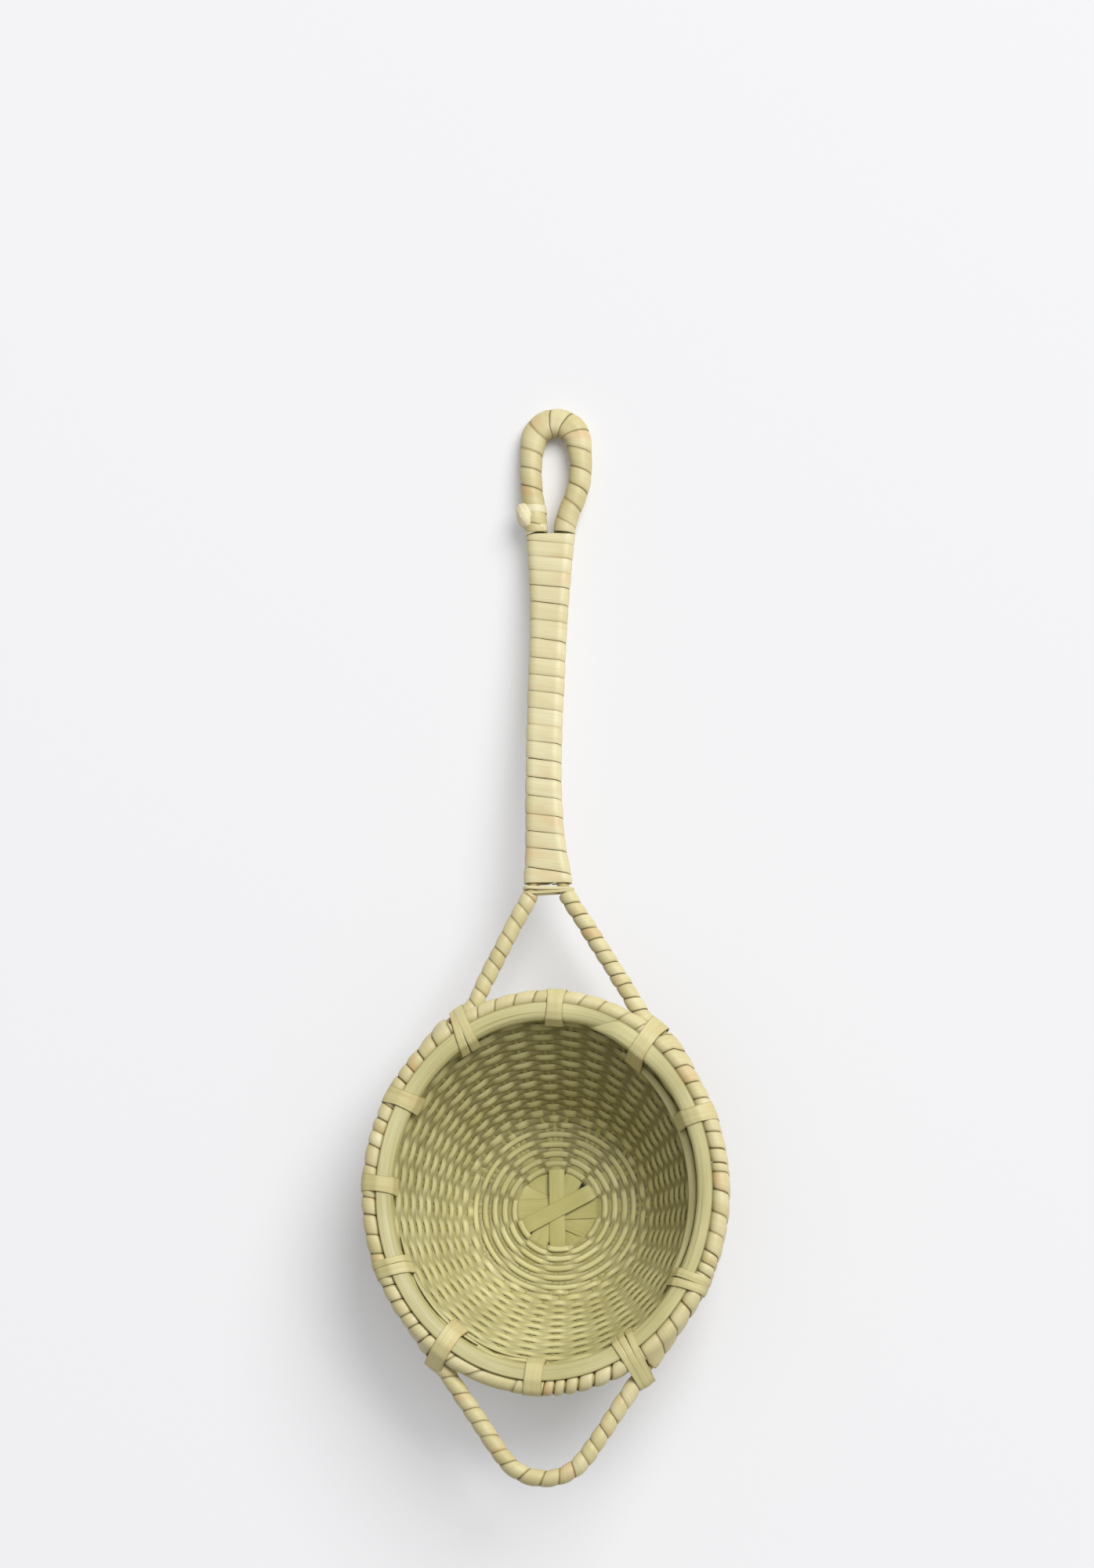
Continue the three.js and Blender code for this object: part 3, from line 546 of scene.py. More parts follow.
def weft(name, looks, phase, seed):
    """One weaver: a flat strand that spirals out from the star, over and under, up to the hoops."""
    start = looks.first_row / MM
    top = profile(math.radians(45))[3]
    base_gap, wall_gap = 2 * looks.row_pitch / MM, 2 * looks.wall_pitch / MM
    base_turns = (GROUPED_UNTIL - start) / base_gap
    # It is trimmed level with the rim, somewhere in the turns that it has to spare.
    turns = base_turns + (top - GROUPED_UNTIL) / wall_gap + SPARE_TURNS
    # Each strand's end is hidden under a strip.
    turned = np.linspace((1 - phase) / STRIP_ENDS, turns, int(turns * TINES * TINE_STEPS))
    azimuth = phase * math.pi + 2 * math.pi * turned
    nominal = np.where(turned < base_turns, start + base_gap * turned,
                       GROUPED_UNTIL + wall_gap * (turned - base_turns))
    # Where the wall is longer, the rows lie further apart and the strand is wider.
    length = profile(azimuth)[3]
    spread = (length - GROUPED_UNTIL) / (top - GROUPED_UNTIL)
    middle = np.minimum(nominal, GROUPED_UNTIL) + np.maximum(nominal - GROUPED_UNTIL, 0) * spread
    middle = middle + 0.08 * drift(azimuth, seed, 0.4)
    wider = (looks.wall_pitch / looks.row_pitch * spread - 1) * smooth(
        nominal, GROUPED_UNTIL - 0.5, GROUPED_UNTIL + 2)
    width = looks.weft_width / MM * (1 + 0.06 * drift(azimuth, seed + 2, 1.5)) * (1 + wider)
    low = middle - width / 2
    high = np.minimum(middle + width / 2, length + TRIM_ABOVE)
    kept = np.cumprod(high - low > 0.15).astype(bool)
    azimuth, middle, low, high = (a[kept] for a in (azimuth, middle, low, high))
    group, warp, level = weave_place(azimuth, middle)
    # From whole strip ends it goes over to tines half way between two ends.
    step = 2 * math.pi / STRIP_ENDS
    switch = azimuth[np.argmax(middle > GROUPED_UNTIL)]
    on_ends = azimuth < step * (math.ceil(switch / step) - 0.5) + math.radians(STRIP_TURN)
    wave = np.where(on_ends, np.cos(math.pi * (group + phase)), -np.cos(math.pi * (warp + phase)))
    lift = looks.weft_lift / MM * np.sign(wave) * np.abs(wave) ** np.where(on_ends, 1.0, 1.8)
    lift = lift * (1 + 0.15 * drift(azimuth, seed + 1, 0.3))
    across = np.array([-0.5, -0.42, -0.24, 0, 0.24, 0.42, 0.5])
    rounded = np.abs(2 * across)
    crown = looks.weft_crown / MM * (1 - rounded ** 2.4)
    s = (low + high)[:, None] / 2 + (high - low)[:, None] * across
    rise = (level + lift)[:, None] + looks.weft_thick / MM / 2 + crown - WEFT_SUNK
    points = bowl_point(azimuth[:, None], s, rise - rim_lean(azimuth[:, None], s))
    # Painted shade: the bowl's upper side is darker, where its wall is turned from the light, and a strand is
    # darkest where it dives between floats. Its edges are darker too, partly for their cut fibres, partly as
    # painted shade in the slits.
    darker = 0.5 + 0.5 * np.cos(azimuth - math.radians(SHADED_SIDE))
    ground = 0.45 + 0.21 * darker + 0.05 * (1 + drift(STRIP_ENDS / 2 * azimuth / math.pi, 77))
    painted_shade = (ground + (0.22 + 0.17 * darker) * smooth(-wave, -0.95, 0.1))[:, None]
    obj = sheet(name, points, walked(points[:, 3])[:, None] + 500 * seed, across * looks.weft_width / MM,
                np.maximum(painted_shade, 0.42 + 0.58 * rounded ** 2.6))
    thicken(obj, looks.weft_thick / MM)
    return obj


def base_strip(name, strip, looks):
    """One base strip, across the star and up both walls, each end split into three tines."""
    azimuth = math.radians(STRIP_TURN) + strip * 2 * math.pi / STRIP_ENDS
    swing, moved = STRIP_LAY[strip]
    # In the star, the deeper a strip lies in the pile, the wider it is.
    hidden = 4 - min(STRIP_ORDER[strip], 4)
    tines = []
    for tine in (-1, 0, 1):
        halves = []
        for side in (1, -1):
            direction = azimuth if side > 0 else azimuth + math.pi
            top = above_rim(direction + side * tine * 2 * math.pi / TINES, WARP_RISE)
            s = np.concatenate([np.linspace(0, CROTCH, 20), np.linspace(CROTCH, top, 34)[1:]])
            fanned = s > CROTCH
            loose = 1 - smooth(s, 6.5, 10.5)
            turn = direction + np.where(fanned, side * tine * tine_angle(s), math.radians(swing) * loose)
            shift = (np.where(fanned, 0, tine)[:, None] + STRIP_COLUMNS) * TINE_WIDTH
            wide = 1 + 0.2 * hidden * (1 - smooth(s, 7.6, 9.5))[:, None]
            shift = shift * wide + moved * loose[:, None]
            split = smooth(s, CROTCH - 2, CROTCH)[:, None]
            whole = 1 - ((tine + STRIP_COLUMNS) / 1.5) ** 2
            crown = 0.12 * whole * (1 - split) + 0.1 * (1 - (STRIP_COLUMNS * 2) ** 2) * split
            rise = strip_level(strip, s)[:, None] + looks.strip_thick / MM / 2 + crown
            point = bowl_point(turn[:, None], s[:, None], rise - rim_lean(turn[:, None], s[:, None]))
            sideways = np.stack([-np.sin(turn), np.cos(turn), 0 * turn], -1) * side
            halves.append(point + sideways[:, None] * shift[..., None])
        line = np.vstack([halves[1][::-1], halves[0][1:]])[:, ::-1]
        walk = walked(line[:, 2])[:, None]
        from_middle = np.abs(walk - walk[len(walk) // 2])
        v = (tine + STRIP_COLUMNS)[::-1]
        # Cut edges are darker; beyond the star the strips also carry painted shade, where they lie under the
        # weaving strands.
        shade = np.maximum(0.95 * np.abs(v / 1.5) ** 8, 0.84 * smooth(from_middle, 6.8, 8))
        tines.append(sheet(f"{name}_tine", line, walk + 300 * strip, v * TINE_WIDTH, shade))
    obj = merged(name, tines)
    join_seams()
    thicken(obj, looks.strip_thick / MM)
    return obj


# Hoops, windings and ties


def band_ring(turned, shape):
    """A ring of the inner hoop's section: a half-round band leaning with the wall, its ends lapped."""
    azimuth = np.radians(SCARF_START + turned)
    scarf = SCARF_END - SCARF_START
    over = np.clip((turned - 360) / scarf, 0, 1)
    under = SCARF_THIN + (1 - SCARF_THIN) * np.minimum(turned / scarf, 1)
    thick = BAND_THICK * np.minimum(under, 1 + (SCARF_THIN - 1) * over)
    covered = BAND_THICK * (SCARF_THIN + (1 - SCARF_THIN) * over) + PLAY
    # The end that lies on top is cut slanting, so that its upper edge comes down to a point.
    cut = np.clip((turned - SCARF_CUT) / 10, 0, 0.97)[:, None]
    down = cut + shape[:, 0] * (1 - cut)
    s = above_rim(azimuth, BAND_RISE)[:, None] - down * BAND_HEIGHT
    raised = (covered * smooth(turned, 360 - scarf, 360))[:, None] * 1.4 * bulge(down)
    out = shape[:, 1] * thick[:, None] * np.sqrt(1 - cut)
    return bowl_point(azimuth[:, None], s, WALL_CLEAR + SEAT - BAND_LEAN + raised + out)


def bulge(down):
    """The hoop's rounded front: 0 at both edges and 1 a little below the middle."""
    return np.sin(math.pi * down ** 1.15).clip(0) ** 0.8


def band_section(count=34):
    """The hoop's section, from its flat back round its rounded front: how far down, how far out."""
    angle = np.linspace(0, math.pi, count)
    down = (1 + np.cos(angle)) / 2
    front = np.stack([down, BAND_FULL * bulge(down)], -1)
    back = np.stack([np.linspace(0, 1, 5), np.zeros(5)], -1)
    return np.vstack([front, back[1:]])


def lath(name, first, last, drop, width, rise, tilt, dark):
    """A thin strip that lies on the wall under the inner hoop and tapers away at both ends."""
    turned = np.linspace(first, last, 60)
    azimuth = np.radians(turned)
    taper = np.sin(math.pi * np.linspace(0.04, 0.96, 60)) ** 0.4
    v = STRIP_COLUMNS
    middle = above_rim(azimuth, BAND_RISE) - BAND_HEIGHT - drop
    s = middle[:, None] + (width * taper)[:, None] * v
    face = 0.2 * (1 - np.abs(2 * v) ** 2) - tilt * width * v
    points = bowl_point(azimuth[:, None], s, rise + face * taper[:, None])
    along = np.radians(turned - first)[:, None] * RIM_HALF_ACROSS
    obj = sheet(name, points, along, v * width, np.maximum(np.abs(2 * v) ** 3, dark))
    thicken(obj, LATH_THICK)
    return obj


def inner_hoop():
    """The inner hoop, with its scarf, and the laths that show under its edge."""
    turned = np.linspace(0, SCARF_LAST, 260)
    shape = band_section()
    around = walked(shape * [BAND_HEIGHT, BAND_THICK])
    # The band is darker towards the lower left and in the shallow grooves on its face. Along its upper edge
    # it carries painted shade, where it meets the outer hoop.
    low_left_darkening = 0.5 + 0.25 * np.sin(np.radians(turned + SCARF_START - 45) / 2) ** 2
    rim = smooth(-shape[:, 0], -0.06, -0.01)
    dark = np.maximum(low_left_darkening[:, None], rim)
    for down, seed in ((0.3, 31), (0.5, 41), (0.68, 51)):
        from_groove = np.abs(shape[:, 0] - down - 0.03 * drift(turned / 35, seed)[:, None])
        depth = 0.12 + 0.24 * smooth(drift(turned / 22, seed + 1), -0.3, 0.7)
        dark = np.maximum(dark, low_left_darkening[:, None] + depth[:, None] * smooth(-from_groove, -0.035, 0))
    band = tube("inner_hoop_band", band_ring(turned, shape), around, dark)
    laths = [
        lath("lath_right", -34, 62, 1.9, 1.7, 1.0, 0.6, 0.5),
        lath("lath_low_left", 196, 246, 0.95, 1.0, 0.75, 0.1, 0.68),
        lath("lath_low", 232, 270, 2.1, 0.9, 0.7, 0.1, 0.68),
    ]
    return merged("inner_hoop_band", [band, *laths])


def alone(route):
    """A bundle of one rod."""
    def bundle(s):
        point, ahead = route.at(s)
        return point, ahead, np.zeros_like(point)
    return bundle


def paired(half):
    """The hoop and the frame's rod where they lie together."""
    azimuth = 180 - half["merge"] if half is LEFT else half["merge"]
    shift = frame_at(half, "merge") - hoop_at(azimuth)

    def bundle(s):
        hoop, ahead = hoop_route.at(s)
        under, _ = frame_route.at(s + shift)
        return (hoop + under) / 2, ahead, (hoop - under) / 2
    return bundle, shift


def handle_bundle(s):
    """The handle's two rods side by side, under a winding that is fullest at the top and at the neck."""
    zero = np.zeros_like(s)
    point = np.stack([middle_line(s), s, zero - ROD_DROP], -1)
    ahead = np.broadcast_to([0.0, 1.0, 0.0], point.shape)
    share = (s - NECK_REACH) / HANDLE_LENGTH
    full = 0.12 * smooth(share, 0.35, 0.6) + 0.22 * smooth(share, 0.7, 1) + 0.25 * smooth(-share, -0.12, 0)
    half = handle_half(s) + HANDLE_ROD_HALF - ROD_RADIUS + full
    return point, ahead, np.stack([half, zero, zero], -1)


def stadium(share, half, radius):
    """Places round two rods that stand half to each side, as offsets and outward directions."""
    lap = 2 * half + math.pi * radius
    spot = np.mod(share, 1) * 2 * lap + half
    side = np.where(np.mod(spot, 2 * lap) < lap, 1, -1)
    spot = np.mod(spot, lap)
    turn = np.maximum(spot - 2 * half, 0) / radius
    na, nb = side * np.sin(turn), side * np.cos(turn)
    return side * (np.minimum(spot, 2 * half) - half) + radius * na, radius * nb, na, nb


def wound(name, bundle, start, end, turns, seed, gap, crown, slant=0.0, base=ROD_RADIUS, thick=0.4,
          widths=None, gaps=None):
    """A strip wound round a bundle in whole turns, cut square at both ends. No two turns are alike."""
    rng = np.random.default_rng(seed)
    if widths is None:
        widths = 1 + TURN_UNEVEN * rng.uniform(-1, 1, turns)
    widths = np.asarray(widths, float) * (end - start) / np.sum(widths)
    marks = start + np.concatenate([[-widths[0], 0], np.cumsum(widths)])
    marks = np.append(marks, marks[-1] + widths[-1])
    chance = gap * rng.uniform(0.2, 1.8, len(marks))
    gaps = chance if gaps is None else np.array([gaps[0], *gaps, gaps[-1]])
    t = np.linspace(-1, turns, (turns + 1) * TURN_STEPS + 1)

    def edge(at):
        eased = at - slant * np.sin(2 * math.pi * at) / (2 * math.pi)
        return np.interp(eased + 1, np.arange(len(marks)), marks)

    def slit(at):
        return np.interp(at + 1, np.arange(len(gaps)), gaps) / 2

    low = np.maximum(edge(t) + slit(t) + 0.03 * drift(t, seed + 5, 0.4), start)
    high = np.minimum(edge(t + 1) - slit(t + 1) + 0.03 * drift(t, seed + 6, 0.4), end)
    kept = high - low > 0.08
    t, low, high = t[kept], low[kept], high[kept]
    v = np.array([0, 0.1, 0.28, 0.5, 0.72, 0.9, 1])
    s = low[:, None] + (high - low)[:, None] * v
    narrow = np.clip((high - low) / 1.5, 0.3, 1)[:, None]
    cut = np.abs(2 * v - 1) ** 3
    out = thick + crown * narrow * (1 - cut) + TURN_DIPS * drift(t, seed + 7, 0.7)[:, None]
    out = out + TURN_DIPS / 2 * drift(t[:, None] * 3.1 + 2 * v, seed + 8)
    point, ahead, reach = (a.reshape(*s.shape, 3) for a in bundle(s.ravel()))
    half = np.linalg.norm(reach, axis=-1)
    first = np.where(half[..., None] > 1e-6, reach / np.maximum(half, 1e-6)[..., None], UP)
    second = np.cross(ahead, first)
    a, b, na, nb = stadium(np.broadcast_to(t[:, None], s.shape), half, base)
    points = point + first * (a + na * out)[..., None] + second * (b + nb * out)[..., None]
    round_once = 4 * half.mean() + 2 * math.pi * (base + thick)
    obj = sheet(name, points, t[:, None] * round_once + 400 * seed, (v - 0.5) * widths.mean(), cut)
    thicken(obj, thick, 50)
    return obj


def slab(route, origin, aside, width, radius, reach=TIE_REACH):
    """The discs that a rod leaves near a tie's plane, over the tie's width and as far as reach."""
    point, _ = route.at(np.arange(0, route.length, 0.4))
    near = np.linalg.norm(point - origin, axis=1) < reach
    near &= np.abs((point - origin) @ aside) < width / 2 + 0.3
    return [(p, radius) for p in point[near]]


def strand(name, origin, outward, aside, discs, width, centre, slant, lift, seed, flare=0.0, thick=0.26):
    """One closed turn of a tie: a strip drawn tight round what it holds, leaning by slant across it."""
    flat = [((p - origin) @ outward, (p - origin) @ UP, r) for p, r in discs]
    ring, walk = outline(flat, PLAY / 2 + lift, 72)
    tangent = np.gradient(np.vstack([ring[-2:-1], ring, ring[1:2]]), axis=0)[1:-1]
    normal = unit(np.stack([tangent[:, 1], -tangent[:, 0]], -1))
    v = np.array([0.5, 0.44, 0.3, 0.15, 0, -0.15, -0.3, -0.44, -0.5])
    out = thick + TIE_CROWN * (1 - np.abs(2 * v) ** 3) + 0.035 * drift(9 * v, seed + 3)
    x, y = (ring[:, i:i + 1] + normal[:, i:i + 1] * out for i in range(2))
    half = np.ptp(ring[:, 0]) / 2
    across = (ring[:, :1] - ring[:, 0].min()) / half - 1
    share = np.linspace(0, 1, len(ring))
    wave = (0.06 * drift(12 * share, seed) * np.sin(math.pi * share))[:, None]
    sideways = centre + slant * across + wave + v * width * (1 + flare * (across ** 2 - 0.4))
    points = origin + outward * x[..., None] + UP * y[..., None] + aside * sideways[..., None]
    obj = sheet(name, points, walk[:, None] + 40 * seed, v * width, np.abs(2 * v) ** 5)
    join_seams()
    thicken(obj, thick, 50)
    return obj


# Finishes


def linear(colour):
    """An sRGB hex colour as the linear red, green, blue and alpha that nodes take."""
    parts = [int(colour[i:i + 2], 16) / 255 for i in (1, 3, 5)]
    return [c / 12.92 if c <= 0.04045 else ((c + 0.055) / 1.055) ** 2.4 for c in parts] + [1.0]


def add_node(tree, kind, inputs=None, out=0, **settings):
    """Adds a shader node and gives one of its outputs. An input takes a value, or another node's output."""
    made = tree.nodes.new("ShaderNode" + kind)
    for key, value in settings.items():
        setattr(made, key, value)
    for key, value in (inputs or {}).items():
        if isinstance(value, bpy.types.NodeSocket):
            tree.links.new(value, made.inputs[key])
        else:
            made.inputs[key].default_value = value
    return made.outputs[out] if made.outputs else None


def new_material(name):
    """An empty node material."""
    made = bpy.data.materials.new(name)
    made.use_nodes = True
    made.node_tree.nodes.clear()
    return made, made.node_tree


def bamboo(name, looks, body, pale, deep, edge, fibre=0.3, rough=0.5, edges_and_shade=0.8, patch=None, patch_amount=0.0):
    """Split bamboo: fibres run along each strip, its tone drifts along its length, its cut edges are darker,
    and the same dark colour paints the shade that a piece carries.

    body is a colour of the looks, the others are hex colours; fibre is a streak's width in millimetres.
    """
    made, tree = new_material(name)
    uv = add_node(tree, "UVMap")
    place = add_node(tree, "TexCoord", out="Object")
    # Each layer over the body's colour: its colour, where its noise is read and how far that is stretched,
    # how fine the noise is, and the part of it that shows. The strips are mapped in millimetres.
    layers = {
        "length": (pale, uv, {"Scale": (1 / 16, 0.12, 1)}, {"Detail": 2.0},
                   {"From Min": 0.32, "From Max": 0.68}),
        "broad": (deep, place, {"Scale": [1 / (14 * MM)] * 3}, {"Detail": 1.0},
                  {"From Min": 0.35, "From Max": 0.65, "To Max": 0.35}),
        "fibre": (deep, uv, {"Scale": (0.09, 1 / fibre, 1)}, {"Detail": 3.0, "Roughness": 0.6},
                  {"From Min": 0.34, "From Max": 0.66, "To Max": looks.fibre_contrast}),
    }
    if patch:
        layers["patch"] = (patch, uv, {"Scale": (1 / 11, 0.2, 1), "Location": (7, 3, 0)}, {"Detail": 1.5},
                           {"From Min": 0.56, "From Max": 0.7, "To Max": patch_amount})
    colour, noise = tuple(body), {}
    for layer, (over, at, stretch, grain, shown) in layers.items():
        stretched = add_node(tree, "Mapping", {"Vector": at, **stretch})
        noise[layer] = add_node(tree, "TexNoise", {"Vector": stretched, "Scale": 1.0, **grain})
        share = add_node(tree, "MapRange", {"Value": noise[layer], **shown})
        colour = add_node(tree, "Mix", {0: share, 6: colour, 7: linear(over)}, out=2, data_type="RGBA")
    # The edge attribute darkens cut edges and also paints shade, towards the edge colour.
    cut = add_node(tree, "Attribute", out="Fac", attribute_name="edge")
    share = add_node(tree, "MapRange", {"Value": cut, "From Min": 0.5, "From Max": 1.0, "To Max": edges_and_shade})
    colour = add_node(tree, "Mix", {0: share, 6: colour, 7: linear(edge)}, out=2, data_type="RGBA")
    roughness = add_node(tree, "MapRange", {
        "Value": noise["fibre"], "From Min": 0.3, "From Max": 0.7,
        "To Min": rough - 0.07, "To Max": rough + 0.1,
    })
    bump = add_node(tree, "Bump", {"Height": noise["fibre"], "Strength": 0.5, "Distance": 0.05 * MM})
    shader = add_node(tree, "BsdfPrincipled", {
        "Base Color": colour, "Roughness": roughness, "Normal": bump, "IOR": 1.45,
    })
    add_node(tree, "OutputMaterial", {"Surface": shader})
    return made


# Each finish's material, its pale and deep fibres, the colour of its cut edges and painted shade, and how it
# was worked.
FINISHES = {
    # Inner bamboo split thin and still greenish: fine streaks give the weave its dry, matt grain.
    "weft": ("split_bamboo_weft", "#ebe4b0", "#a69d5c", "#6f6636", {"fibre": 0.28, "rough": 0.55}),
    # Wider strips of the same bamboo: broader fibres and a little more sheen make them look calmer.
    "warp": ("split_bamboo_strip", "#cbc485", "#a09851", "#8a8148", {"fibre": 0.35}),
    # The shaved outer skin, drier and browner, with tan patches where it has been scorched or stained.
    "wrap": ("wound_bamboo_strip", "#e9dfb4", "#bfb176", "#8f7d48",
             {"fibre": 0.32, "rough": 0.48, "edges_and_shade": 0.6, "patch": "#d6a873", "patch_amount": 0.5}),
    # The strip on the handle is paler and shinier than the other windings: handling has polished it.
    "grip": ("polished_bamboo_strip", "#efe6c0", "#c9bc85", "#96844e",
             {"fibre": 0.32, "rough": 0.42, "edges_and_shade": 0.3, "patch": "#d9b07c", "patch_amount": 0.4}),
    # The knot is the strip's end, made the brightest bamboo as painted light, since it lies on the loop's
    # shaded side; its edges are faint.
    "knot": ("folded_bamboo_end", "#f6efd3", "#d8cc9c", "#a5945f", {"edges_and_shade": 0.3}),
    # The ties are a little greener than the windings, and their tan patches are fainter.
    "tie": ("green_bamboo_tie", "#ddd39f", "#b5a96a", "#877a41",
            {"fibre": 0.32, "edges_and_shade": 0.7, "patch": "#cfa46c", "patch_amount": 0.3}),
    # The inner hoop is shaved smooth: the broadest fibres, and a clear sheen.
    "hoop": ("shaved_bamboo_hoop", "#e8e0ae", "#b0a768", "#8f8549", {"fibre": 0.45, "rough": 0.42}),
    # The rods show only in the slits of their windings: plain straw colour, without cut edges.
    "rod": ("bamboo_rod", "#d8ca92", "#a89557", "#a89557", {"fibre": 0.4}),
}


finishes = {}


def finish(kind):
    """One of the bamboo's finishes, which the first operator makes."""
    if kind not in finishes:
        raise RuntimeError("the finishes come first: run strainer.finishes")
    return finishes[kind]


def colour_property(name, description, colour):
    """A colour that a user can change."""
    return bpy.props.FloatVectorProperty(
        name=name, description=description, default=linear(colour), size=4, min=0, max=1, subtype="COLOR")


def length_property(name, description, length):
    """A length that a user can change, given in millimetres."""
    return bpy.props.FloatProperty(name=name, description=description, default=length * MM, unit="LENGTH")


# What a user can change


class WeaveLooks(bpy.types.PropertyGroup):
    """Sizes of the woven bowl."""

    row_pitch: length_property("Row Pitch", "From one row of the weave to the next", 0.96)
    first_row: length_property("First Row", "From the star's middle to the first row", 7.5)
    wall_pitch: length_property("Wall Pitch", "From one row to the next up the wall", 1.3)
    weft_width: length_property("Strand Width", "Width of a weaving strand", 1.22)
    weft_thick: length_property("Strand Thickness", "Thickness of a weaving strand", 0.5)
    weft_crown: length_property("Strand Crown", "How far a strand is rounded up in its middle", 0.3)
    weft_lift: length_property("Strand Lift", "How far a strand rises over a warp", 0.22)
    strip_thick: length_property("Strip Thickness", "Thickness of the base strips", 0.28)


class FinishLooks(bpy.types.PropertyGroup):
    """Colours of the bamboo."""

    weft: colour_property("Weaving Strands", "Colour of the bowl's weaving strands", "#e2da9a")
    warp: colour_property("Base Strips", "Colour of the strips that cross under the bowl", "#bdb673")
    wrap: colour_property("Wound Strips", "Colour of the strips wound round the frame", "#d3c792")
    grip: colour_property("Handle Strip", "Colour of the strip wound round the handle", "#e4d9ab")
    # The knot's colour is lightened as painted light, for the loop's shaded side where it lies.
    knot: colour_property("Knot", "Colour of the knot beside the loop", "#ebe1bd")
    tie: colour_property("Ties", "Colour of the ties round the rim", "#d9ce97")
    hoop: colour_property("Inner Hoop", "Colour of the flat inner hoop", "#ddd69f")
    rod: colour_property("Rods", "Colour of the rods inside the windings", "#c9b97c")
    fibre_contrast: bpy.props.FloatProperty(
        name="Fibre Contrast", description="How far the fibres differ in tone", default=0.35, min=0, max=1,
        subtype="FACTOR")


class StageLooks(bpy.types.PropertyGroup):
    """The floor, the light and the camera."""

    key_power: bpy.props.FloatProperty(
        name="Key Light", description="Power of the large soft lamp", default=90.0, unit="POWER")
    floor_glow: bpy.props.FloatProperty(
        name="Floor Glow", description="How far the floor's shadows are lightened for the camera",
        default=0.56, min=0, max=1, subtype="FACTOR")
    sky: bpy.props.FloatProperty(
        name="Sky", description="Strength of the even light from all round", default=0.31, min=0)


# Pieces


class STRAINER_OT_finishes(bpy.types.Operator):
    """Makes the bamboo's finishes"""

    bl_idname = "strainer.finishes"
    bl_label = "Finishes"

    def execute(self, context):
        looks = context.scene.strainer_finish
        for kind, (name, pale, deep, edge, worked) in FINISHES.items():
            finishes[kind] = bamboo(name, looks, getattr(looks, kind), pale, deep, edge, **worked)
        return {"FINISHED"}


class STRAINER_OT_bowl(bpy.types.Operator):
    """Crosses the six base strips and weaves both strands round them"""

    bl_idname = "strainer.bowl"
    bl_label = "Woven Bowl"

    def execute(self, context):
        looks = context.scene.strainer_weave
        for strip in range(STRIP_ENDS // 2):
            piece = base_strip(f"split_strip_{strip + 1}", strip, looks)
            settle(piece, finish("warp"), "woven_bamboo", f"base_strip_{strip + 1}")
        for phase, letter in enumerate("ab"):
            piece = weft(f"weft_{letter}", looks, phase, 3 + 10 * phase)
            nodes = [f"weaver_{letter}_{i}" for i in range(1, 5)]
            settle(piece, finish("weft"), "woven_bamboo", *nodes)
        return {"FINISHED"}


class STRAINER_OT_hoops(bpy.types.Operator):
    """Bends the two hoops, the frame's rod and the loop's rod"""

    bl_idname = "strainer.hoops"
    bl_label = "Hoops and Rods"

    def execute(self, context):
        def round_rod(s):
            return ROD_RADIUS

        def pressed_rod(s):
            from_end = np.minimum(s, frame_route.length - s)
            neck = frame_at(LEFT, "neck")
            return HANDLE_ROD_HALF + (ROD_RADIUS - HANDLE_ROD_HALF) * smooth(from_end, neck - 10, neck)

        rods = [
            ("rim_rod", hoop_route, HOOP_END_GAP, round_rod, HOOP_RADIUS, "outer_hoop"),
            ("bent_rod", frame_route, 0, pressed_rod, ROD_RADIUS, "frame_rod"),
            ("hanging_loop_rod", loop_route, 0, round_rod, ROD_RADIUS, "loop_rod"),
        ]
        for name, route, gap, half_across, half_high, node in rods:
            piece = rod(name, route, gap, route.length - gap, half_across, half_high)
            settle(piece, finish("rod"), "bamboo_rod", node)
        settle(inner_hoop(), finish("hoop"), "bamboo_strip", "inner_hoop")
        return {"FINISHED"}


def tie_edge(at, side):
    """Where a winding passes under a tie, along the hoop: side -1 before the tie, 1 after it."""
    turned = (at - HOOP_JOINT) % 360 + HOOP_JOINT
    return (hoop_at(turned) + side * (TIE_WIDTH / 2 - TIE_LAP)) % hoop_route.length


# How wide each turn on the handle is beside the others, from the neck up, and the gap before it: some turns
# lie tight and others leave a dark line.
HANDLE_TURNS = (33, 21, 22, 23, 24, 24, 24, 22, 21, 22, 22, 21, 23, 27, 22, 24, 20, 19, 18, 22)
HANDLE_GAPS = (0.1, 0.2, 0.02, 0.16, 0.02, 0.22, 0.06, 0.2, 0.02, 0.04, 0.0,
               0.04, 0.0, 0.22, 0.03, 0.02, 0.2, 0.02, 0.04, 0.0, 0.0)
# How wide each turn on the rim's right side is beside the others, from the tip up.
SIDE_TURNS = (4, 3.6, 4.2, 3.5, 3.8, 2, 1.8, 3.8, 3.7, 4.4, 4.3, 1.5, 2.6, 3.3, 3.4, 3.5, 3.4, 3.7, 3.9, 3.9)


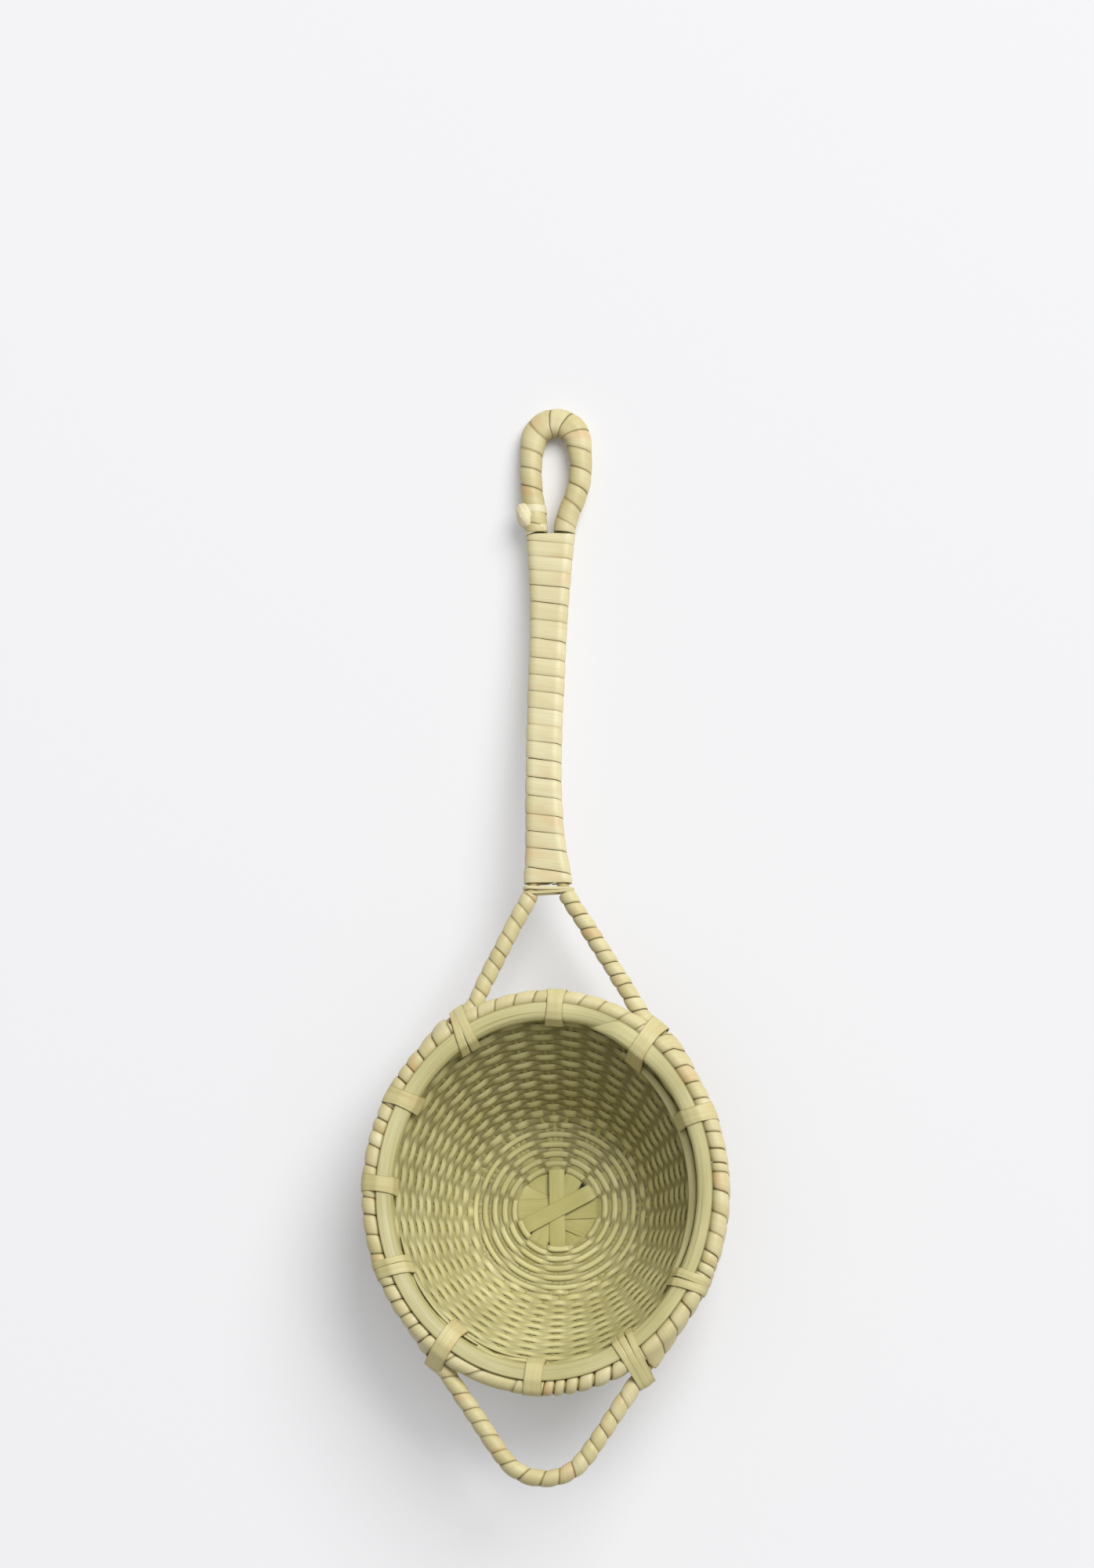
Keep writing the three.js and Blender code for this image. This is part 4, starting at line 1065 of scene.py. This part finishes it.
class STRAINER_OT_windings(bpy.types.Operator):
    """Winds the strips round the handle, the loop, the legs, the sides, the tip and the hoop"""

    bl_idname = "strainer.windings"
    bl_label = "Windings"

    def execute(self, context):
        left_pair, left_shift = paired(LEFT)
        right_pair, right_shift = paired(RIGHT)
        on_hoop, on_frame = alone(hoop_route), alone(frame_route)
        handle = wound("handle_binding", handle_bundle, NECK_REACH, HANDLE_TOP, 20, 1, 0.06, 0.1,
                       slant=-0.45, widths=HANDLE_TURNS, gaps=HANDLE_GAPS, thick=0.42)
        settle(handle, finish("grip"), "bamboo_strip", "handle_wrap")

        def on_loop(s):
            # The loop's strip is laid on thicker round the inside of its arch.
            low, high = 0.3 * loop_route.length, 0.46 * loop_route.length
            arch = smooth(s, low, high) * smooth(loop_route.length - s, low, high)
            point, ahead = loop_route.at(s)
            inward = unit(np.cross(ahead, UP)) * (0.01 + 0.7 * arch)[:, None]
            return point + inward + LOOP_CLEARS_FLOOR * UP, ahead, inward

        hidden = SPLICE_DEPTH + 0.1
        loop = wound("loop_binding", on_loop, hidden, loop_route.length - hidden, 14, 2, 0.07, 0.14,
                     base=1.45, thick=0.6)
        # Painted shade inside the loop's arch, where the arch shades itself.
        shaded_spot = frame_point(LOOP_LEAN, HANDLE_TOP + LOOP_LENGTH - ARCH_SHADE_BELOW)
        paint_shade(loop, shaded_spot, ARCH_SHADE_REACH, ARCH_SHADE_AMOUNT)
        settle(loop, finish("wrap"), "bamboo_strip", "loop_wrap")
        # Each winding's name, bundle, start, end, turns, seed, gap, crown, node and turn widths.
        jobs = [
            ("left_leg_binding", on_frame, frame_at(LEFT, "neck") + LEG_WRAP_START,
             frame_at(LEFT, "foot") + UNDER_TIE, 9, 3, 0.06, 0.18, "leg_wrap_left", None),
            ("right_leg_binding", on_frame, frame_at(RIGHT, "foot") - UNDER_TIE,
             frame_at(RIGHT, "neck") - LEG_WRAP_START, 11, 4, 0.1, 0.2, "leg_wrap_right", None),
            ("left_side_binding", left_pair, tie_edge(117, 1), tie_edge(-123, -1),
             22, 5, 0.16, 0.26, "side_wrap_left", None),
            ("right_side_binding", right_pair, tie_edge(-62, 1), tie_edge(56, -1),
             20, 6, 0.14, 0.22, "side_wrap_right", SIDE_TURNS),
            ("tip_binding", on_frame, tie_edge(-123, 1) + left_shift - UNDER_TIE,
             tie_edge(-62, -1) + right_shift + UNDER_TIE, 18, 7, 0.1, 0.22, "tip_wrap", None),
            ("top_hoop_binding", on_hoop, tie_edge(56, 1), tie_edge(117, -1),
             9, 8, 0.08, 0.16, "hoop_wrap_top", None),
            ("bead_binding", on_hoop, tie_edge(-93, 1), tie_edge(-62, -1),
             6, 9, 0.26, 0.34, "hoop_wrap_right", (1.9, 1.9, 2.3, 2.8, 3.2, 3.9)),
            ("loose_binding", on_hoop, tie_edge(-123, 1), tie_edge(-93, -1),
             3, 10, 0.1, 0.14, "hoop_wrap_left", (3.8, 9.4, 2.2)),
        ]
        for name, bundle, start, end, turns, seed, gap, crown, node, widths in jobs:
            piece = wound(name, bundle, start, end, turns, seed, gap, crown, widths=widths)
            settle(piece, finish("wrap"), "bamboo_strip", node)
        return {"FINISHED"}


# Each tie's place round the rim in degrees, how far it reaches below the inner hoop, and its strands: the
# middle, lean, lift, width and flare of each.
RIM_TIES = [
    (117, 0.3, [(-0.9, 1.2, 0.0, 1.7, 0.1), (0.8, 0.6, 0.1, 2.0, 0.1)]),
    (87, 0.0, [(0.0, 0.1, 0.0, 3.4, 0.25)]),
    (56, 2.5, [(0.0, -0.6, 0.0, 3.6, 0.2)]),
    (26, 1.6, [(-0.1, 0.4, 0.0, 3.4, 0.15)]),
    (-32, 0.8, [(-0.9, -0.4, 0.0, 1.8, 0.1), (0.95, -0.6, 0.08, 1.7, 0.1)]),
    (-62, 0.5, [(-1.3, 0.9, 0.0, 1.45, 0.1), (0.05, 0.5, 0.12, 1.4, 0.1), (1.3, 0.2, 0.04, 1.45, 0.1)]),
    (-93, 0.5, [(0.0, 0.1, 0.0, 3.6, 0.1)]),
    (-123, 1.8, [(0.0, -0.6, 0.0, 3.7, 0.05)]),
    (-154, 0.3, [(-0.6, 0.5, 0.0, 2.3, 0.1), (1.15, 0.4, 0.05, 1.4, 0.1)]),
    (177, 0.0, [(0.0, 0.3, 0.0, 3.3, 0.15)]),
    (147, 0.4, [(0.0, -0.4, 0.0, 3.4, 0.15)]),
]


class STRAINER_OT_ties(bpy.types.Operator):
    """Ties both hoops and the frame together round the rim, and ties the neck and the loop"""

    bl_idname = "strainer.ties"
    bl_label = "Ties"

    def execute(self, context):
        for number, (at, below, strands) in enumerate(RIM_TIES, 1):
            azimuth = math.radians(at)
            origin = hoop_point(azimuth)
            outward = rim_outward(azimuth)
            aside = np.cross(outward, UP)
            discs = slab(hoop_route, origin, aside, TIE_WIDTH, TIE_SEAT)
            discs += slab(frame_route, origin, aside, TIE_WIDTH, TIE_SEAT)
            spread = math.degrees(TIE_WIDTH / 2 / np.linalg.norm(origin))
            turned = (at - SCARF_START) % 360 + np.array([-spread, 0, spread])
            discs += [(p, 0.0) for p in band_ring(turned, band_section(7)).reshape(-1, 3)]
            lowest = above_rim(azimuth, BAND_RISE) - BAND_HEIGHT - below
            discs.append((bowl_point(azimuth, lowest, TIE_STANDS), 0.0))
            rings = [
                strand(f"strand_{number}_{i}", origin, outward, aside, discs, width, centre, slant, lift,
                       50 + 7 * number + i, flare)
                for i, (centre, slant, lift, width, flare) in enumerate(strands)
            ]
            settle(merged(f"rim_lashing_{number}", rings), finish("tie"), "bamboo_strip", f"rim_tie_{number}")
        self.neck()
        self.loop()
        return {"FINISHED"}

    def neck(self):
        """The thin strands that hold both legs together under the handle."""
        origin = frame_point(0, NECK_REACH - NECK_TIE_BELOW)
        outward, aside = np.array([1.0, 0, 0]), np.array([0, -1.0, 0])
        discs = slab(frame_route, origin, aside, NECK_TIE_WIDTH, ROD_RADIUS + 0.05)
        rings = [
            strand(f"neck_{i}", origin, outward, aside, discs, width, centre, slant, 0.0, 140 + i, thick=0.2)
            for i, (centre, slant, width) in enumerate([(-0.2, 0.15, 0.6), (0.55, -0.2, 0.5)])
        ]
        settle(merged("neck_lashing", rings), finish("wrap"), "bamboo_strip", "neck_tie")

    def loop(self):
        """The knot beside the loop's left leg: the folded end of the strip, held by two turns."""
        point, ahead = loop_route.at(np.array([SPLICE_DEPTH + KNOT_AT]))
        origin, outward = point[0], np.cross(UP, ahead[0])
        aside = np.cross(outward, UP)
        t = np.linspace(0, math.pi, 22)
        angles = np.linspace(0, 2 * math.pi, 25)
        lump = 1 + 0.1 * drift(2.5 * t[:, None] + 4 * np.cos(angles), 160)[..., None]
        along = np.cos(t[:, None])
        out, over, up_leg = KNOT_MIDDLE
        wide, high, long = KNOT_HALF
        middle = origin + outward * (out + 0.25 * along) + UP * over + aside * (up_leg + long * along)
        ring = outward * np.cos(angles)[:, None] * wide + UP * np.sin(angles)[:, None] * high
        taper = np.maximum(np.sin(t), 0.08)[:, None, None] ** 0.75
        fold = tube("fold", middle[:, None] + ring * taper * lump, angles * high)
        discs = slab(loop_route, origin, aside, KNOT_WIDTH, LOOP_OUTER, KNOT_REACH)
        rings = [
            strand("knot_low", origin, outward, aside, discs, 1.5, 1.9, 0.3, -0.08, 150, 0.1),
            strand("knot_high", origin, outward, aside, discs, 1.3, -2.3, -0.35, -0.2, 151, 0.1),
        ]
        settle(merged("loop_lashing", [fold, *rings]), finish("knot"), "bamboo_strip", "loop_knot")


class STRAINER_OT_stage(bpy.types.Operator):
    """Lays the floor and sets the light and the camera"""

    bl_idname = "strainer.stage"
    bl_label = "Stage"

    def execute(self, context):
        scene, looks = context.scene, context.scene.strainer_stage
        self.floor(looks)
        self.sky(scene, looks)
        self.lamp(scene, looks)
        self.camera(scene)
        scene.view_settings.view_transform = "Standard"
        return {"FINISHED"}

    def floor(self, looks):
        """A sheet of paper. Its shadows are lightened for the camera alone, and less so near contact."""
        deselect()
        bpy.ops.mesh.primitive_plane_add(size=12, location=(0, 0, 0))
        floor = bpy.context.object
        floor.name = "floor"
        # Pale matt paper: a plain, cool white on which the soft shadow shows.
        made, tree = new_material("pale_paper")
        shader = add_node(tree, "BsdfPrincipled", {
            "Base Color": linear(PAPER), "Roughness": 0.9, "Specular IOR Level": 0.1,
        })
        seen = add_node(tree, "LightPath", out="Is Camera Ray")
        share = add_node(tree, "AmbientOcclusion", {"Distance": 36 * MM}, out="AO")
        for operation, by in (("POWER", 2.0), ("MULTIPLY", looks.floor_glow), ("MULTIPLY", seen)):
            share = add_node(tree, "Math", {0: share, 1: by}, operation=operation)
        glow = add_node(tree, "Emission", {"Color": linear(PAPER), "Strength": 1.0})
        paper = add_node(tree, "MixShader", {0: share, 1: shader, 2: glow})
        add_node(tree, "OutputMaterial", {"Surface": paper})
        floor.data.materials.append(made)

    def sky(self, scene, looks):
        """Even light from all round, which the camera sees as a plain pale background."""
        scene.world = bpy.data.worlds.new("even_light")
        scene.world.use_nodes = True
        tree = scene.world.node_tree
        tree.nodes.clear()
        seen = add_node(tree, "LightPath", out="Is Camera Ray")
        light = add_node(tree, "Background", {"Color": linear("#ffffff"), "Strength": looks.sky})
        white = add_node(tree, "Background", {"Color": linear("#f3f4f6"), "Strength": 1.0})
        mixed = add_node(tree, "MixShader", {0: seen, 1: light, 2: white})
        add_node(tree, "OutputWorld", {"Surface": mixed})

    def lamp(self, scene, looks):
        """The large soft lamp."""
        lamp = bpy.data.lights.new("key", "AREA")
        lamp.shape = "DISK"
        lamp.size = LAMP_SIZE
        lamp.energy = looks.key_power
        key = bpy.data.objects.new("key", lamp)
        scene.collection.objects.link(key)
        key.location = LAMP_AT
        key.rotation_euler = (Vector(LAMP_AIM) - key.location).to_track_quat("-Z", "Y").to_euler()

    def camera(self, scene):
        """The photo's camera: high above, a little aside and turned a little."""
        camera = bpy.data.cameras.new("camera")
        camera.lens = CAMERA_LENS
        camera.sensor_width = CAMERA_SENSOR
        camera.clip_start, camera.clip_end = 0.05, 30
        eye = bpy.data.objects.new("camera", camera)
        scene.collection.objects.link(eye)
        scene.camera = eye
        aside, ahead, roll = (math.radians(a) for a in (CAMERA_ASIDE, CAMERA_AHEAD, CAMERA_ROLL))
        back = Vector((math.sin(aside), math.sin(ahead), 0))
        back.z = math.sqrt(1 - back.length_squared)
        right = Vector((0, 1, 0)).cross(back).normalized()
        up = back.cross(right)
        turned_right = right * math.cos(roll) + up * math.sin(roll)
        turned_up = up * math.cos(roll) - right * math.sin(roll)
        eye.matrix_world = Matrix((turned_right, turned_up, back)).transposed().to_4x4()
        eye.location = Vector(CAMERA_AIM) + back * CAMERA_AWAY


class STRAINER_PT_panel(bpy.types.Panel):
    """Lists the strainer's pieces and what can be changed"""

    bl_idname = "STRAINER_PT_panel"
    bl_label = "Tea Strainer"
    bl_space_type = "VIEW_3D"
    bl_region_type = "UI"
    bl_category = "Strainer"

    def draw(self, context):
        for group in ("strainer_weave", "strainer_finish", "strainer_stage"):
            looks = getattr(context.scene, group)
            for name in looks.__annotations__:
                self.layout.prop(looks, name)
        for step in STEPS:
            self.layout.operator(step.bl_idname)


STEPS = (
    STRAINER_OT_finishes,
    STRAINER_OT_bowl,
    STRAINER_OT_hoops,
    STRAINER_OT_windings,
    STRAINER_OT_ties,
    STRAINER_OT_stage,
)
CLASSES = (WeaveLooks, FinishLooks, StageLooks, *STEPS, STRAINER_PT_panel)


def register():
    for cls in CLASSES:
        bpy.utils.register_class(cls)
    bpy.types.Scene.strainer_weave = bpy.props.PointerProperty(type=WeaveLooks)
    bpy.types.Scene.strainer_finish = bpy.props.PointerProperty(type=FinishLooks)
    bpy.types.Scene.strainer_stage = bpy.props.PointerProperty(type=StageLooks)


def unregister():
    del bpy.types.Scene.strainer_stage
    del bpy.types.Scene.strainer_finish
    del bpy.types.Scene.strainer_weave
    for cls in reversed(CLASSES):
        bpy.utils.unregister_class(cls)


def main():
    """Builds the strainer's looks in order."""
    register()
    bpy.ops.strainer.finishes()
    bpy.ops.strainer.bowl()
    bpy.ops.strainer.hoops()
    bpy.ops.strainer.windings()
    bpy.ops.strainer.ties()
    bpy.ops.strainer.stage()


if __name__ == "__main__":
    main()
